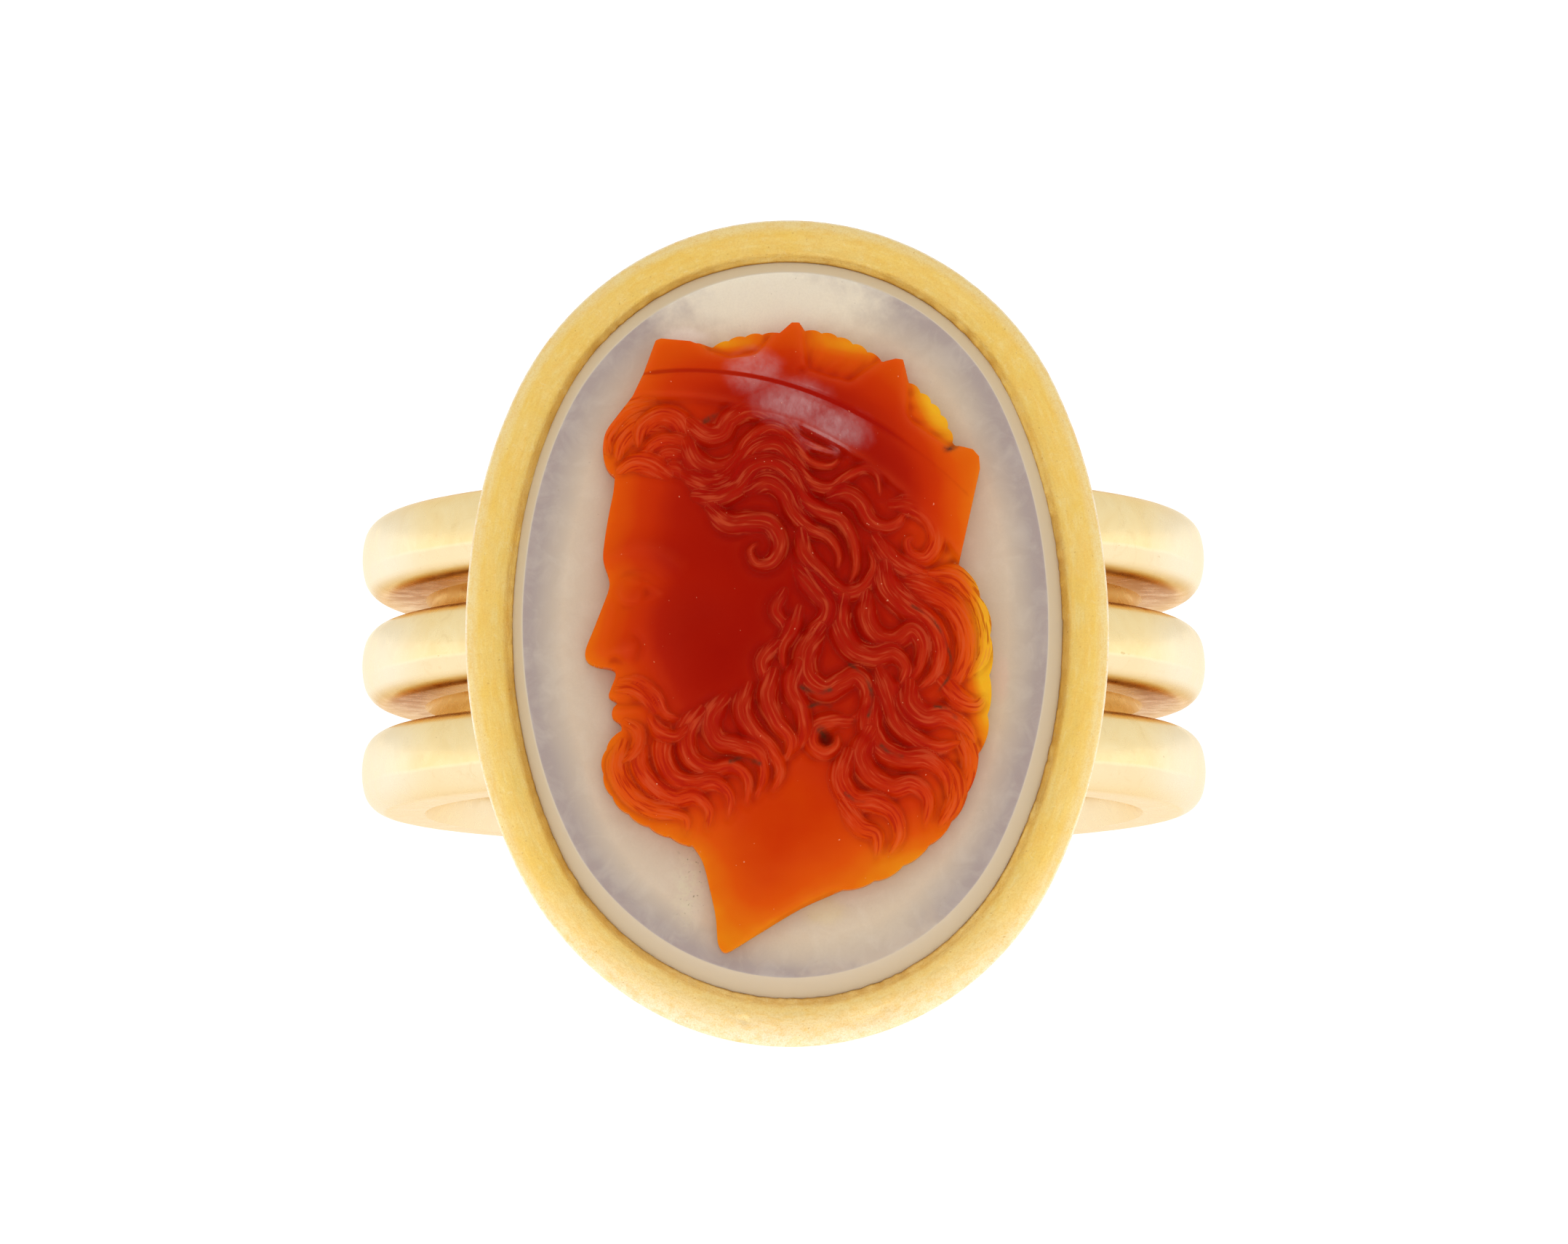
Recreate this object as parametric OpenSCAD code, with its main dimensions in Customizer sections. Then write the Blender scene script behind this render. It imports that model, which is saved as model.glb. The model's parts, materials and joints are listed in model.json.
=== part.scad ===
// Cameo ring: three gold hoops under an oval bezel with a carved two-layer stone.
// Millimetres. The ring lies on its side on the plane z = 0, with its stone towards -Y.
// The origin is under the middle of the ring.

/* [Finger] */
// Inner diameter of the shank, across the finger hole
finger_d = 17.6; // [15:0.1:20]

/* [Hoops] */
// Width of one hoop along the finger
hoop_w = 1.92; // [1.6:0.02:2.4]
// Thickness of one hoop, from the finger to its crown
hoop_t = 1.95; // [1.5:0.05:2.4]
// Height of the rounded part of a hoop's section
hoop_crown = 0.75; // [0.4:0.05:0.8]
// Flat that eases a hoop's two inner edges
hoop_ease = 0.2; // [0.05:0.05:0.35]
// Open gap between neighbouring hoops
hoop_gap = 0.8; // [0.5:0.05:1.1]

/* [Bezel] */
// Length of the bezel along the finger
bezel_l = 19.9; // [17:0.1:24]
// Width of the bezel across the finger
bezel_w = 15.5; // [12.5:0.1:18.5]
// Height of the gold rim above the finger hole
bezel_h = 4.2; // [3.6:0.1:5.2]
// How far the middle of the bezel lies below the middle hoop
bezel_drop = 0.4; // [0:0.05:0.8]
// Lean of the side wall inwards, in degrees
bezel_lean = 20; // [18:1:24]
// Width of the gold rim, from its outer edge to the stone
rim_w = 1.16; // [0.9:0.02:1.5]
// Radius of the rim's rounded face
rim_round = 1.5; // [1.3:0.05:3]
// How far the rim reaches over the stone's edge
rim_over = 0.4; // [0.2:0.02:0.5]
// Width of the ledge that carries the stone, inside the rim
ledge_w = 1.1; // [0.9:0.05:1.6]
// Thickness of the closed back
back_t = 0.7; // [0.5:0.05:0.9]

/* [Stone] */
// Thickness of the pale layer, from the ledge to the carved ground
ground_t = 2.45; // [2:0.05:2.8]
// Width of the stone's bevelled edge, seen from the front
bevel_w = 0.33; // [0.2:0.01:0.5]
// Height of the bevelled edge that stands out of the gold
bevel_h = 0.75; // [0.5:0.05:1]
// Height of the carved head above the ground
relief_h = 2.1; // [1.2:0.05:2.6]
// Height of the head's upright edge all round
relief_edge = 0.5; // [0.3:0.05:0.8]
// Length of the head as a share of the ground's length
relief_l_share = 0.893; // [0.7:0.005:0.9]
// Width of the head as a share of the ground's width
relief_w_share = 0.79; // [0.6:0.005:0.8]

/* [Fits] */
// Clearance between the stone and the gold
seat_gap = 0.02; // [0.01:0.01:0.04]
// Clearance between the two layers of the stone
layer_gap = 0.01; // [0.01:0.01:0.02]

/* [Hidden] */

// Shank
hoop_count = 3;
finger_r = finger_d / 2;
shank_r = finger_r + hoop_t;
hoop_pitch = hoop_w + hoop_gap;
last_hoop_z = hoop_pitch * (hoop_count - 1) / 2;
crown_r = (pow(hoop_w / 2, 2) + pow(hoop_crown, 2)) / (2 * hoop_crown);
crown_at = shank_r - crown_r;

// Outline of the bezel: an oval of four arcs, whose end arcs are nearly as wide as the oval
half_l = bezel_l / 2;
half_w = bezel_w / 2;
end_share = 0.92;
end_r = half_w * end_share;
side_r = (pow(half_w, 2) + pow(half_l, 2) - 2 * half_l * end_r) / (2 * (half_w - end_r));
end_at = half_l - end_r;
side_at = side_r - half_w;
join_angle = atan2(end_at, side_at);

// Heights of the bezel, measured from the middle of the finger
rim_top = finger_r + bezel_h;
rim_peak_in = rim_w * 0.75;
rim_foot = rim_top - rim_round + sqrt(pow(rim_round, 2) - pow(rim_peak_in, 2));
wall_low = rim_foot - (rim_w + ledge_w) / tan(bezel_lean);
saddle_r = finger_r + hoop_t / 2;
back_r = saddle_r + back_t;
lip_drop = 0.1;
stone_out = rim_top - lip_drop;
ground_z = stone_out + bevel_h;
seat_z = ground_z - ground_t;
girdle_z = stone_out - rim_over * bevel_h / bevel_w;

// Ground inside the bevel, and the head on it
ground_half_l = half_l - rim_w - bevel_w - seat_gap;
ground_half_w = half_w - rim_w - bevel_w - seat_gap;
relief_half_l = ground_half_l * relief_l_share;
relief_half_w = ground_half_w * relief_w_share;
relief_z = ground_z + layer_gap;

front_share = 0.45;

// Rest on one side: the tilt at which the rim's lower end and the last hoop's back reach one plane
reach = rim_foot + crown_at;
fall = half_l + bezel_drop - last_hoop_z;
rest_tilt = atan2(fall, reach) - asin(crown_r / norm([reach, fall]));
rest_lift = (half_l + bezel_drop) * cos(rest_tilt) - rim_foot * sin(rest_tilt);
front_y = -(relief_z + relief_h) * cos(rest_tilt) - (relief_half_l * front_share + bezel_drop) * sin(rest_tilt);
back_y = crown_at * cos(rest_tilt) + last_hoop_z * sin(rest_tilt) + crown_r;
middle_y = (front_y + back_y) / 2;

// Outline of the head, anticlockwise from the crown's front point:
// [across, along] as shares of the head's half width and half length
OUTLINE = [
    [-0.65, 0.95], [-0.72, 0.84], [-0.77, 0.77], [-0.82, 0.69], [-0.90, 0.58], [-0.88, 0.48],
    [-0.88, 0.36], [-0.90, 0.24], [-0.86, 0.17], [-0.93, 0.05], [-1.00, -0.05], [-0.85, -0.09],
    [-0.87, -0.17], [-0.83, -0.20], [-0.86, -0.24], [-0.82, -0.27], [-0.88, -0.33], [-0.90, -0.40],
    [-0.85, -0.50], [-0.76, -0.57], [-0.59, -0.62], [-0.48, -0.65], [-0.42, -0.72], [-0.38, -0.84],
    [-0.37, -0.97], [-0.33, -1.00], [-0.16, -0.93], [0.05, -0.84], [0.26, -0.79], [0.47, -0.73],
    [0.69, -0.63], [0.84, -0.50], [0.90, -0.37], [0.96, -0.27], [0.96, -0.15], [1.00, -0.06],
    [0.98, 0.05], [0.91, 0.18], [0.82, 0.25], [0.87, 0.41], [0.92, 0.55], [0.90, 0.60],
    [0.79, 0.63], [0.73, 0.71], [0.62, 0.80], [0.56, 0.84], [0.51, 0.88], [0.41, 0.90],
    [0.24, 0.95], [0.08, 0.97], [0.02, 1.00], [-0.12, 0.96], [-0.27, 0.96], [-0.44, 0.93],
];
// Swellings of the head: [across, along, reach across, reach along, height],
// as shares of the head's half width, half length and height
SWELLS = [
    [0.00, 0.30, 1.10, 0.98, 0.90],
    [0.40, -0.10, 0.78, 0.70, 0.92],
    [-0.38, -0.25, 0.66, 0.48, 0.78],
    [-0.60, 0.00, 0.50, 0.22, 0.50],
    [0.00, -0.62, 0.55, 0.50, 0.50],
];
// Main curls of hair and beard: [across, along, radius, rise], in the same shares
CURLS = [
    [-0.62, 0.56, 0.16, 0.14], [-0.30, 0.46, 0.18, 0.12], [0.02, 0.40, 0.20, 0.12],
    [0.36, 0.30, 0.20, 0.12], [0.66, 0.18, 0.20, 0.14], [0.12, 0.10, 0.20, 0.12],
    [0.42, -0.02, 0.22, 0.12], [0.76, -0.14, 0.20, 0.16], [0.22, -0.24, 0.20, 0.12],
    [0.54, -0.38, 0.22, 0.14], [0.40, -0.62, 0.18, 0.16], [-0.12, -0.32, 0.18, 0.12],
    [-0.40, -0.40, 0.20, 0.16], [-0.70, -0.42, 0.16, 0.16], [-0.48, -0.16, 0.14, 0.12],
];
edge_steps = 2;
rings = 16;

// The crown's band: the middle of the circle that it follows, its radius and its half width
BAND = [-0.52, -0.52];
band_r = 1.31;
band_half = 0.1;
band_rise = 0.08;

// Height of a round swell over a point, as a share of the head's height
function swell(dx, dy, h) = h * sqrt(max(0, 1 - dx * dx - dy * dy));
function bump(d, h) = abs(d) < 1 ? h * pow(1 - d * d, 2) : 0;
function flank(x, y) = max([for (s = SWELLS) swell((x - s[0]) / s[2], (y - s[1]) / s[3], s[4])]);
function from_mid(x, y, mid) = norm([(x - mid.x) * relief_half_w / relief_half_l, y - mid.y]);
function curls(x, y) = max([for (c = CURLS) bump(from_mid(x, y, c) / c[2] * 1.4, c[3])]);
function in_band(x, y) = bump((from_mid(x, y, BAND) - band_r) / band_half, band_rise);
function carved(x, y) =
    relief_edge + (relief_h - relief_edge) * min(1, flank(x, y) + curls(x, y) + in_band(x, y));

// Outline with each stretch cut into equal steps
function outline_point(i) =
    let (a = OUTLINE[floor(i / edge_steps)], b = OUTLINE[(floor(i / edge_steps) + 1) % len(OUTLINE)])
    a + (b - a) * (i % edge_steps) / edge_steps;
edge_count = len(OUTLINE) * edge_steps;

// Places children on the bezel, whose front faces -Y
module on_bezel() {
    translate([0, 0, -bezel_drop])
        rotate([90, 0, 0])
            children();
}

// Lays the ring down on its side
module laid_down() {
    translate([0, -middle_y, rest_lift])
        rotate([-rest_tilt, 0, 0])
            children();
}

// Runs a section round the oval. Its x is measured from the outline, inwards negative.
module round_the_oval() {
    for (turn = [0, 180])
        rotate([0, 0, turn]) {
            translate([0, end_at, 0])
                rotate([0, 0, join_angle])
                    rotate_extrude(angle = 180 - 2 * join_angle, $fn = 128)
                        translate([end_r, 0])
                            children();
            translate([-side_at, 0, 0])
                rotate([0, 0, -join_angle])
                    rotate_extrude(angle = 2 * join_angle, $fn = 128)
                        translate([side_r, 0])
                            children();
        }
}

// Full oval block with straight flanks: points are [distance from the outline, height], upwards.
// Its side slices start past the middle and not at their far centre, which can lie outside the oval.
module oval_block(points) {
    block_in = max(0, side_at - half_w / 2);
    for (turn = [0, 180])
        rotate([0, 0, turn]) {
            translate([0, end_at, 0])
                rotate([0, 0, join_angle])
                    rotate_extrude(angle = 180 - 2 * join_angle, $fn = 128)
                        pie_section(points, end_r, 0);
            translate([-side_at, 0, 0])
                rotate([0, 0, -join_angle])
                    rotate_extrude(angle = 2 * join_angle, $fn = 128)
                        pie_section(points, side_r, block_in);
        }
}

// Section of a block's slice, from its inner radius out to the outline
module pie_section(points, r, inner) {
    polygon(concat(
        [[inner, points[0].y]],
        [for (p = points) [r + p.x, p.y]],
        [[inner, points[len(points) - 1].y]]
    ));
}

// Section of one hoop: flat to the finger with eased edges, rounded outside
module hoop_section() {
    flank_top = shank_r - hoop_crown;
    union() {
        polygon([
            [finger_r, -hoop_w / 2 + hoop_ease],
            [finger_r + hoop_ease, -hoop_w / 2],
            [flank_top, -hoop_w / 2],
            [flank_top, hoop_w / 2],
            [finger_r + hoop_ease, hoop_w / 2],
            [finger_r, hoop_w / 2 - hoop_ease],
        ]);
        intersection() {
            translate([crown_at, 0])
                circle(r = crown_r, $fn = 96);
            translate([flank_top, -hoop_w])
                square([hoop_w * 2, hoop_w * 2]);
        }
    }
}

module hoops() {
    for (i = [0 : hoop_count - 1])
        translate([0, 0, i * hoop_pitch - last_hoop_z])
            rotate_extrude($fn = 180)
                hoop_section();
}

// Space that the stone takes inside the rim, in section
module stone_space() {
    rise = rim_top + lip_drop - stone_out;
    inner = -rim_w - ledge_w - rim_w;
    polygon([
        [inner, seat_z],
        [-rim_w + rim_over, seat_z],
        [-rim_w + rim_over, girdle_z],
        [-rim_w, stone_out],
        [-rim_w - rise * bevel_w / bevel_h, rim_top + lip_drop],
        [inner, rim_top + lip_drop],
    ]);
}

// Section of the bezel's wall, ledge and rubbed-over rim
module wall_section() {
    difference() {
        union() {
            polygon([
                [-rim_w - ledge_w, wall_low],
                [0, rim_foot],
                [-rim_w - ledge_w, rim_foot],
            ]);
            intersection() {
                translate([-rim_peak_in, rim_top - rim_round])
                    circle(r = rim_round, $fn = 96);
                translate([-rim_w, rim_foot])
                    square([rim_w, rim_round]);
            }
        }
        stone_space();
    }
}

// Curved plate that closes the bezel behind the stone
module closed_back() {
    plate_in = -rim_w - ledge_w + back_t / 4;
    intersection() {
        oval_block([[plate_in, wall_low], [plate_in, seat_z]]);
        rotate([90, 0, 0])
            difference() {
                cylinder(r = back_r, h = bezel_l, center = true, $fn = 180);
                cylinder(r = saddle_r, h = bezel_l * 1.1, center = true, $fn = 180);
            }
    }
}

module bezel() {
    difference() {
        round_the_oval()
            wall_section();
        rotate([90, 0, 0])
            cylinder(r = saddle_r, h = bezel_l * 1.1, center = true, $fn = 180);
    }
    closed_back();
}

module gold_mount() {
    color([0.86, 0.68, 0.28])
        laid_down() {
            hoops();
            on_bezel()
                bezel();
        }
}

module stone_ground() {
    edge = -rim_w + rim_over - seat_gap;
    color([0.83, 0.77, 0.71])
        laid_down()
            on_bezel()
                oval_block([
                    [edge, seat_z + seat_gap],
                    [edge, girdle_z],
                    [-rim_w - bevel_w - seat_gap, ground_z],
                ]);
}

// The head: rings of points from the middle out to the outline, closed by an upright edge and a flat back
module stone_relief() {
    n = edge_count;
    rim = [for (i = [0 : n - 1]) outline_point(i)];
    face = [
        for (k = [1 : rings], p = rim)
            let (q = p * k / rings)
            [q.x * relief_half_w, q.y * relief_half_l, relief_z + (k < rings ? carved(q.x, q.y) : relief_edge)]
    ];
    foot = [for (p = rim) [p.x * relief_half_w, p.y * relief_half_l, relief_z]];
    points = concat([[0, 0, relief_z + carved(0, 0)]], face, foot, [[0, 0, relief_z]]);
    last = len(points) - 1;
    fan = [for (i = [0 : n - 1]) [0, 1 + (i + 1) % n, 1 + i]];
    skin = [
        for (k = [0 : rings - 1], i = [0 : n - 1])
            let (a = 1 + k * n + i, b = 1 + k * n + (i + 1) % n)
            each [[a, b, b + n], [a, b + n, a + n]]
    ];
    base = [for (i = [0 : n - 1]) [last, last - n + i, last - n + (i + 1) % n]];
    color([0.80, 0.25, 0.07])
        laid_down()
            on_bezel()
                polyhedron(points = points, faces = concat(fan, skin, base), convexity = 6);
}

gold_mount();
stone_ground();
stone_relief();
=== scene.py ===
import json
import math

import bpy
import numpy as np
from mathutils import Matrix, Vector


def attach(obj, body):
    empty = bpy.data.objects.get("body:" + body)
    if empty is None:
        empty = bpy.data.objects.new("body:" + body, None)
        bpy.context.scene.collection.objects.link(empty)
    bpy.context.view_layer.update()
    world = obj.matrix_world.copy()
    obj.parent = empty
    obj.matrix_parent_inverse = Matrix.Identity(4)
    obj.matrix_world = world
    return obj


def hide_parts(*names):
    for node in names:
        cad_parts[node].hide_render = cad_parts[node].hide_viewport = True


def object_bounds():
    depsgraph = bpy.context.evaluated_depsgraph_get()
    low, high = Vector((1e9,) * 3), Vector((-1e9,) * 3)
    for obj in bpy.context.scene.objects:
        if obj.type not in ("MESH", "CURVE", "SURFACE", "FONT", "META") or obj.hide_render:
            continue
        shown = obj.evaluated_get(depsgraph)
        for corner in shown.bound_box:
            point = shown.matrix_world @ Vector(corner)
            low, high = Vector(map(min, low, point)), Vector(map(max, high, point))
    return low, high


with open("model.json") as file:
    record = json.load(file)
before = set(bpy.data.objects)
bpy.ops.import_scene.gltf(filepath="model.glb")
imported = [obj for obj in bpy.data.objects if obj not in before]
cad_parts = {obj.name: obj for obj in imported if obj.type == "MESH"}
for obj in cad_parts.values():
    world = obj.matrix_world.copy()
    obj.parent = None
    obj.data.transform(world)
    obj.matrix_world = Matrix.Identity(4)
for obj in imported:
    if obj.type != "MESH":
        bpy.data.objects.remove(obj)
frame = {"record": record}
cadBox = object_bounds()
print("frame loaded")

# The ring's own directions: across the finger, along it, and out through the stone. Pieces are made in
# millimetres on them, from the middle of the finger, and are then laid down with the ring.
ring = dict(bezelDrop=0.4, rimTop=13.0, headFoot=13.66)
mount = frame["record"]["mounts"][0]
fingerMiddle = Vector(mount["pos_m"])
alongFinger = Vector(mount["axis"]).normalized()
outwards = Vector((1, 0, 0)).cross(alongFinger)
lean = math.atan2(alongFinger.z, alongFinger.y)
bezelMiddle = fingerMiddle - alongFinger * ring["bezelDrop"] * 0.001


def onRing(x, y, z):  # a place on the bezel, in the room
    return bezelMiddle + (Vector((1, 0, 0)) * x + alongFinger * y + outwards * z) * 0.001


def goTo(mode):  # object or edit mode
    bpy.ops.object.mode_set(mode=mode)


def startFresh():
    if bpy.context.object and bpy.context.object.mode != "OBJECT":
        goTo("OBJECT")
    bpy.ops.object.select_all(action="DESELECT")


def soft(value, low, high):  # soft step from 0 at low to 1 at high
    t = np.clip((value - low) / (high - low), 0, 1)
    return t * t * (3 - 2 * t)


def layDown(piece, middle):  # turns a finished piece into the ring's place and freezes it there
    startFresh()
    piece.select_set(True)
    bpy.context.view_layer.objects.active = piece
    piece.matrix_world = Matrix.Translation(middle) @ Matrix.Rotation(lean, 4, "X") @ Matrix.Scale(0.001, 4)
    bpy.ops.object.transform_apply(location=True, rotation=True, scale=True)


def readPlaces(piece):
    places = np.empty(len(piece.data.vertices) * 3)
    piece.data.vertices.foreach_get("co", places)
    return places.reshape(-1, 3)


def writePlaces(piece, places):
    piece.data.vertices.foreach_set("co", np.asarray(places, float).ravel())
    piece.data.update()


def keepValue(piece, name, values):  # a number, or three, for each vertex, that a material reads
    values = np.asarray(values, np.float32)
    kind, field = ("FLOAT_VECTOR", "vector") if values.ndim == 2 else ("FLOAT", "value")
    kept = piece.data.attributes.get(name) or piece.data.attributes.new(name, kind, "POINT")
    kept.data.foreach_set(field, values.ravel())


def pickVertices(piece, wanted):  # selects in edit mode, by a true or false for each vertex
    goTo("OBJECT")
    for group in (piece.data.polygons, piece.data.edges):
        group.foreach_set("select", np.zeros(len(group), bool))
    piece.data.vertices.foreach_set("select", np.asarray(wanted, bool))
    goTo("EDIT")
    bpy.ops.mesh.select_mode(type="VERT")


def drawSection(name, points, closed):  # a chain of vertices through points, to be spun
    startFresh()
    bpy.ops.mesh.primitive_circle_add(vertices=len(points), radius=1, location=(0, 0, 0))
    piece = bpy.context.object
    piece.name = piece.data.name = name
    writePlaces(piece, points)
    goTo("EDIT")
    if not closed:
        bpy.ops.mesh.select_mode(type="EDGE")
        bpy.ops.mesh.select_all(action="DESELECT")
        goTo("OBJECT")
        ends = {0, len(points) - 1}
        for edge in piece.data.edges:
            edge.select = set(edge.vertices) == ends
        goTo("EDIT")
        bpy.ops.mesh.delete(type="EDGE")
    bpy.ops.mesh.select_mode(type="VERT")
    bpy.ops.mesh.select_all(action="SELECT")
    return piece


def sealAndSmooth(piece, angle):
    goTo("EDIT")
    bpy.ops.mesh.select_all(action="SELECT")
    bpy.ops.mesh.remove_doubles(threshold=0.002)
    bpy.ops.mesh.normals_make_consistent(inside=False)
    goTo("OBJECT")
    bpy.ops.object.shade_smooth_by_angle(angle=math.radians(angle))


def ride(piece, node, material):
    piece.data.materials.clear()
    piece.data.materials.append(material)
    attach(piece, "root")
    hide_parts(node)
    print(piece.name, "made with", len(piece.data.polygons), "faces")


# Materials

def newMaterial(name, **sockets):
    material = bpy.data.materials.new(name)
    material.use_nodes = True
    shader = material.node_tree.nodes["Principled BSDF"]
    for socket, value in sockets.items():
        shader.inputs[socket.replace("_", " ")].default_value = value
    return material, material.node_tree, shader


def addNode(tree, kind, inputs=(), **settings):  # inputs are numbers, colours or other nodes' outputs
    node = tree.nodes.new("ShaderNode" + kind)
    for name, value in settings.items():
        setattr(node, name, value)
    for key, value in dict(inputs).items():
        if isinstance(value, bpy.types.NodeSocket):
            tree.links.new(value, node.inputs[key])
        else:
            node.inputs[key].default_value = value
    return node.outputs[0]


def ringPlaces(tree, stretch=(1, 1, 1)):  # millimetres on the bezel: across, along, out
    coords = addNode(tree, "TexCoord").node.outputs["Object"]
    scale = [0.001 / s for s in stretch]
    return addNode(tree, "Mapping", {"Vector": coords, "Location": bezelMiddle, "Rotation": (lean, 0, 0),
                                     "Scale": scale}, vector_type="TEXTURE")


def stored(tree, name, output="Fac"):  # what keepValue put on the mesh
    return addNode(tree, "Attribute", attribute_name=name).node.outputs[output]


def noise(tree, vector, scale, detail=3.0, roughness=0.5, distortion=0.0):
    return addNode(tree, "TexNoise", {"Vector": vector, "Scale": scale, "Detail": detail,
                                      "Roughness": roughness, "Distortion": distortion})


def ramp(tree, value, stops, smooth="LINEAR"):  # stops are (place, colour or grey)
    node = addNode(tree, "ValToRGB", {"Fac": value}).node
    node.color_ramp.interpolation = smooth
    for place, colour in stops[1:-1]:
        node.color_ramp.elements.new(place)
    for element, (place, colour) in zip(node.color_ramp.elements, stops):
        element.position = place
        element.color = (*colour, 1) if hasattr(colour, "__len__") else (colour, colour, colour, 1)
    return node.outputs[0]


def rise(tree, value, zeroAt, fullAt):  # from 0 to 1, upwards or downwards
    return ramp(tree, value, sorted([(zeroAt, 0.0), (fullAt, 1.0)]))


def mapRange(tree, value, low, high, first=0.0, last=1.0, kind="LINEAR"):
    return addNode(tree, "MapRange", {"Value": value, "From Min": low, "From Max": high, "To Min": first,
                                      "To Max": last}, interpolation_type=kind)


def sums(tree, operation, first, second, third=0.0):
    return addNode(tree, "Math", {0: first, 1: second, 2: third}, operation=operation)


def times(tree, first, second):
    return sums(tree, "MULTIPLY", first, second)


def blendColour(tree, factor, first, second):
    inputs = {0: factor, 6: first, 7: second}
    for index, value in inputs.items():
        if isinstance(value, tuple):
            inputs[index] = (*value[:3], 1)
    return addNode(tree, "Mix", inputs, data_type="RGBA").node.outputs[2]


def tint(tree, colour, share, much, tone):  # lays a tone over a colour
    return blendColour(tree, times(tree, share, much), colour, tone)


def layFlecks(tree, colour, places, flecks, within=None):  # lays on tones where a noise is high, or low
    for pattern, (zeroAt, fullAt), much, tone in flecks:
        share = rise(tree, noise(tree, places, *pattern), zeroAt, fullAt)
        colour = tint(tree, colour, share if within is None else times(tree, within, share), much, tone)
    return colour


def spot(tree, places, middle, size, ragged, grain):  # 1 in the middle of a ragged patch, 0 outside it
    near = addNode(tree, "Mapping", {"Vector": places, "Location": middle, "Scale": size},
                   vector_type="TEXTURE")
    away = addNode(tree, "VectorMath", {0: near}, operation="LENGTH").node.outputs["Value"]
    wobble = sums(tree, "SUBTRACT", noise(tree, places, grain, 4.0, 0.6), 0.5)
    return ramp(tree, sums(tree, "MULTIPLY_ADD", wobble, ragged * 4, away), [(0.3, 1.0), (1.0, 0.0)], "EASE")


def wander(tree, value, places, scale, detail, much):  # a value that a noise shifts about
    shift = sums(tree, "SUBTRACT", noise(tree, places, scale, detail), 0.5)
    return sums(tree, "MULTIPLY_ADD", shift, much, value)


def bumpFrom(tree, shader, height, distance, strength, below=None):
    inputs = {"Height": height, "Distance": distance, "Strength": strength}
    if below is not None:
        inputs["Normal"] = below
    normal = addNode(tree, "Bump", inputs)
    tree.links.new(normal, shader.inputs["Normal"])
    return normal


# Gold mount

rim = dict(endRadius=7.13, endAt=2.82, sideRadius=13.853, sideAt=6.103, footHigh=12.722, domeRadius=1.5,
           domeAt=0.87, wide=1.16, over=0.4, seat=11.2, girdle=11.99, saddle=9.775,
           leanIn=math.tan(math.radians(20)), edgeRound=0.09, lipRound=0.05, lipDrop=0.09, wallFall=3.0,
           wallRows=(1.0, 0.85, 0.7, 0.55, 0.4, 0.27, 0.15, 0.07), domeSteps=18, sweepSteps=(200, 150),
           backRings=(0.97, 0.9, 0.88, 0.86, 0.83, 0.78, 0.7, 0.55, 0.3), lipFoot=12.7, underHigh=12.8)
joinAngle = math.atan2(rim["endAt"], rim["sideAt"])


def ovalPlace(x, y):  # distance outside the oval's edge, and the way straight out from it
    ax, ay = np.abs(x), np.abs(y)
    atEnd = np.arctan2(ay - rim["endAt"], ax) >= joinAngle
    endX, endY = ax, ay - rim["endAt"]
    sideX, sideY = ax + rim["sideAt"], ay
    px, py = np.where(atEnd, endX, sideX), np.where(atEnd, endY, sideY)
    reach = np.hypot(px, py)
    away = reach - np.where(atEnd, rim["endRadius"], rim["sideRadius"])
    return away, px / reach * np.sign(x), py / reach * np.sign(y)


def sweepOval(atEnd, atSide):  # spins the selected section round the oval's arcs, in so many steps each
    arcs = ((atEnd, math.pi - 2 * joinAngle, 0, rim["endAt"]), (atSide, 2 * joinAngle, rim["sideAt"], 0))
    for way in (1, -1):
        for steps, angle, x, y in arcs:
            bpy.ops.mesh.spin(steps=steps, angle=angle, center=(way * x, way * y, 0), axis=(0, 0, -1))
    bpy.ops.mesh.select_all(action="SELECT")
    bpy.ops.mesh.remove_doubles(threshold=0.002)


def onJoin(points):  # (distance from the oval's edge, height) at the join where the sweep starts
    reach = [rim["endRadius"] + away for away, high in points]
    return [(r * math.cos(joinAngle), rim["endAt"] + r * math.sin(joinAngle), high)
            for r, (away, high) in zip(reach, points)]


def roundCorner(before, corner, after, radius, steps=4):  # a soft bend in a section
    a, b, c = (np.array(p, float) for p in (before, corner, after))
    start = b + (a - b) / np.linalg.norm(a - b) * radius
    stop = b + (c - b) / np.linalg.norm(c - b) * radius
    t = np.linspace(0, 1, steps + 1)[:, None]
    return [tuple(p) for p in (1 - t) ** 2 * start + 2 * t * (1 - t) * b + t**2 * stop]


def domeHigh(away):  # height of the rim's rounded face, which comes down onto the stone at its lip
    radius, middle = rim["domeRadius"], rim["domeAt"]
    arc = math.sqrt(radius**2 - (away + middle) ** 2) - math.sqrt(radius**2 - middle**2)
    return rim["footHigh"] + arc - rim["lipDrop"] * float(soft(-away, 0.9, 1.16))


def settle(piece):  # the hand-made oval isn't quite true: fuller above, narrower and a little aside below
    x, y, z = readPlaces(piece).T
    wide = 0.9945 + 0.008 * soft(y, 1, 5) - 0.016 * soft(-y, 4, 9)
    x = x * wide + 0.07 * soft(-y, 5, 9) + 0.03 * soft(y, 4, 8)
    writePlaces(piece, np.column_stack([x, y, z]))


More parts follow.
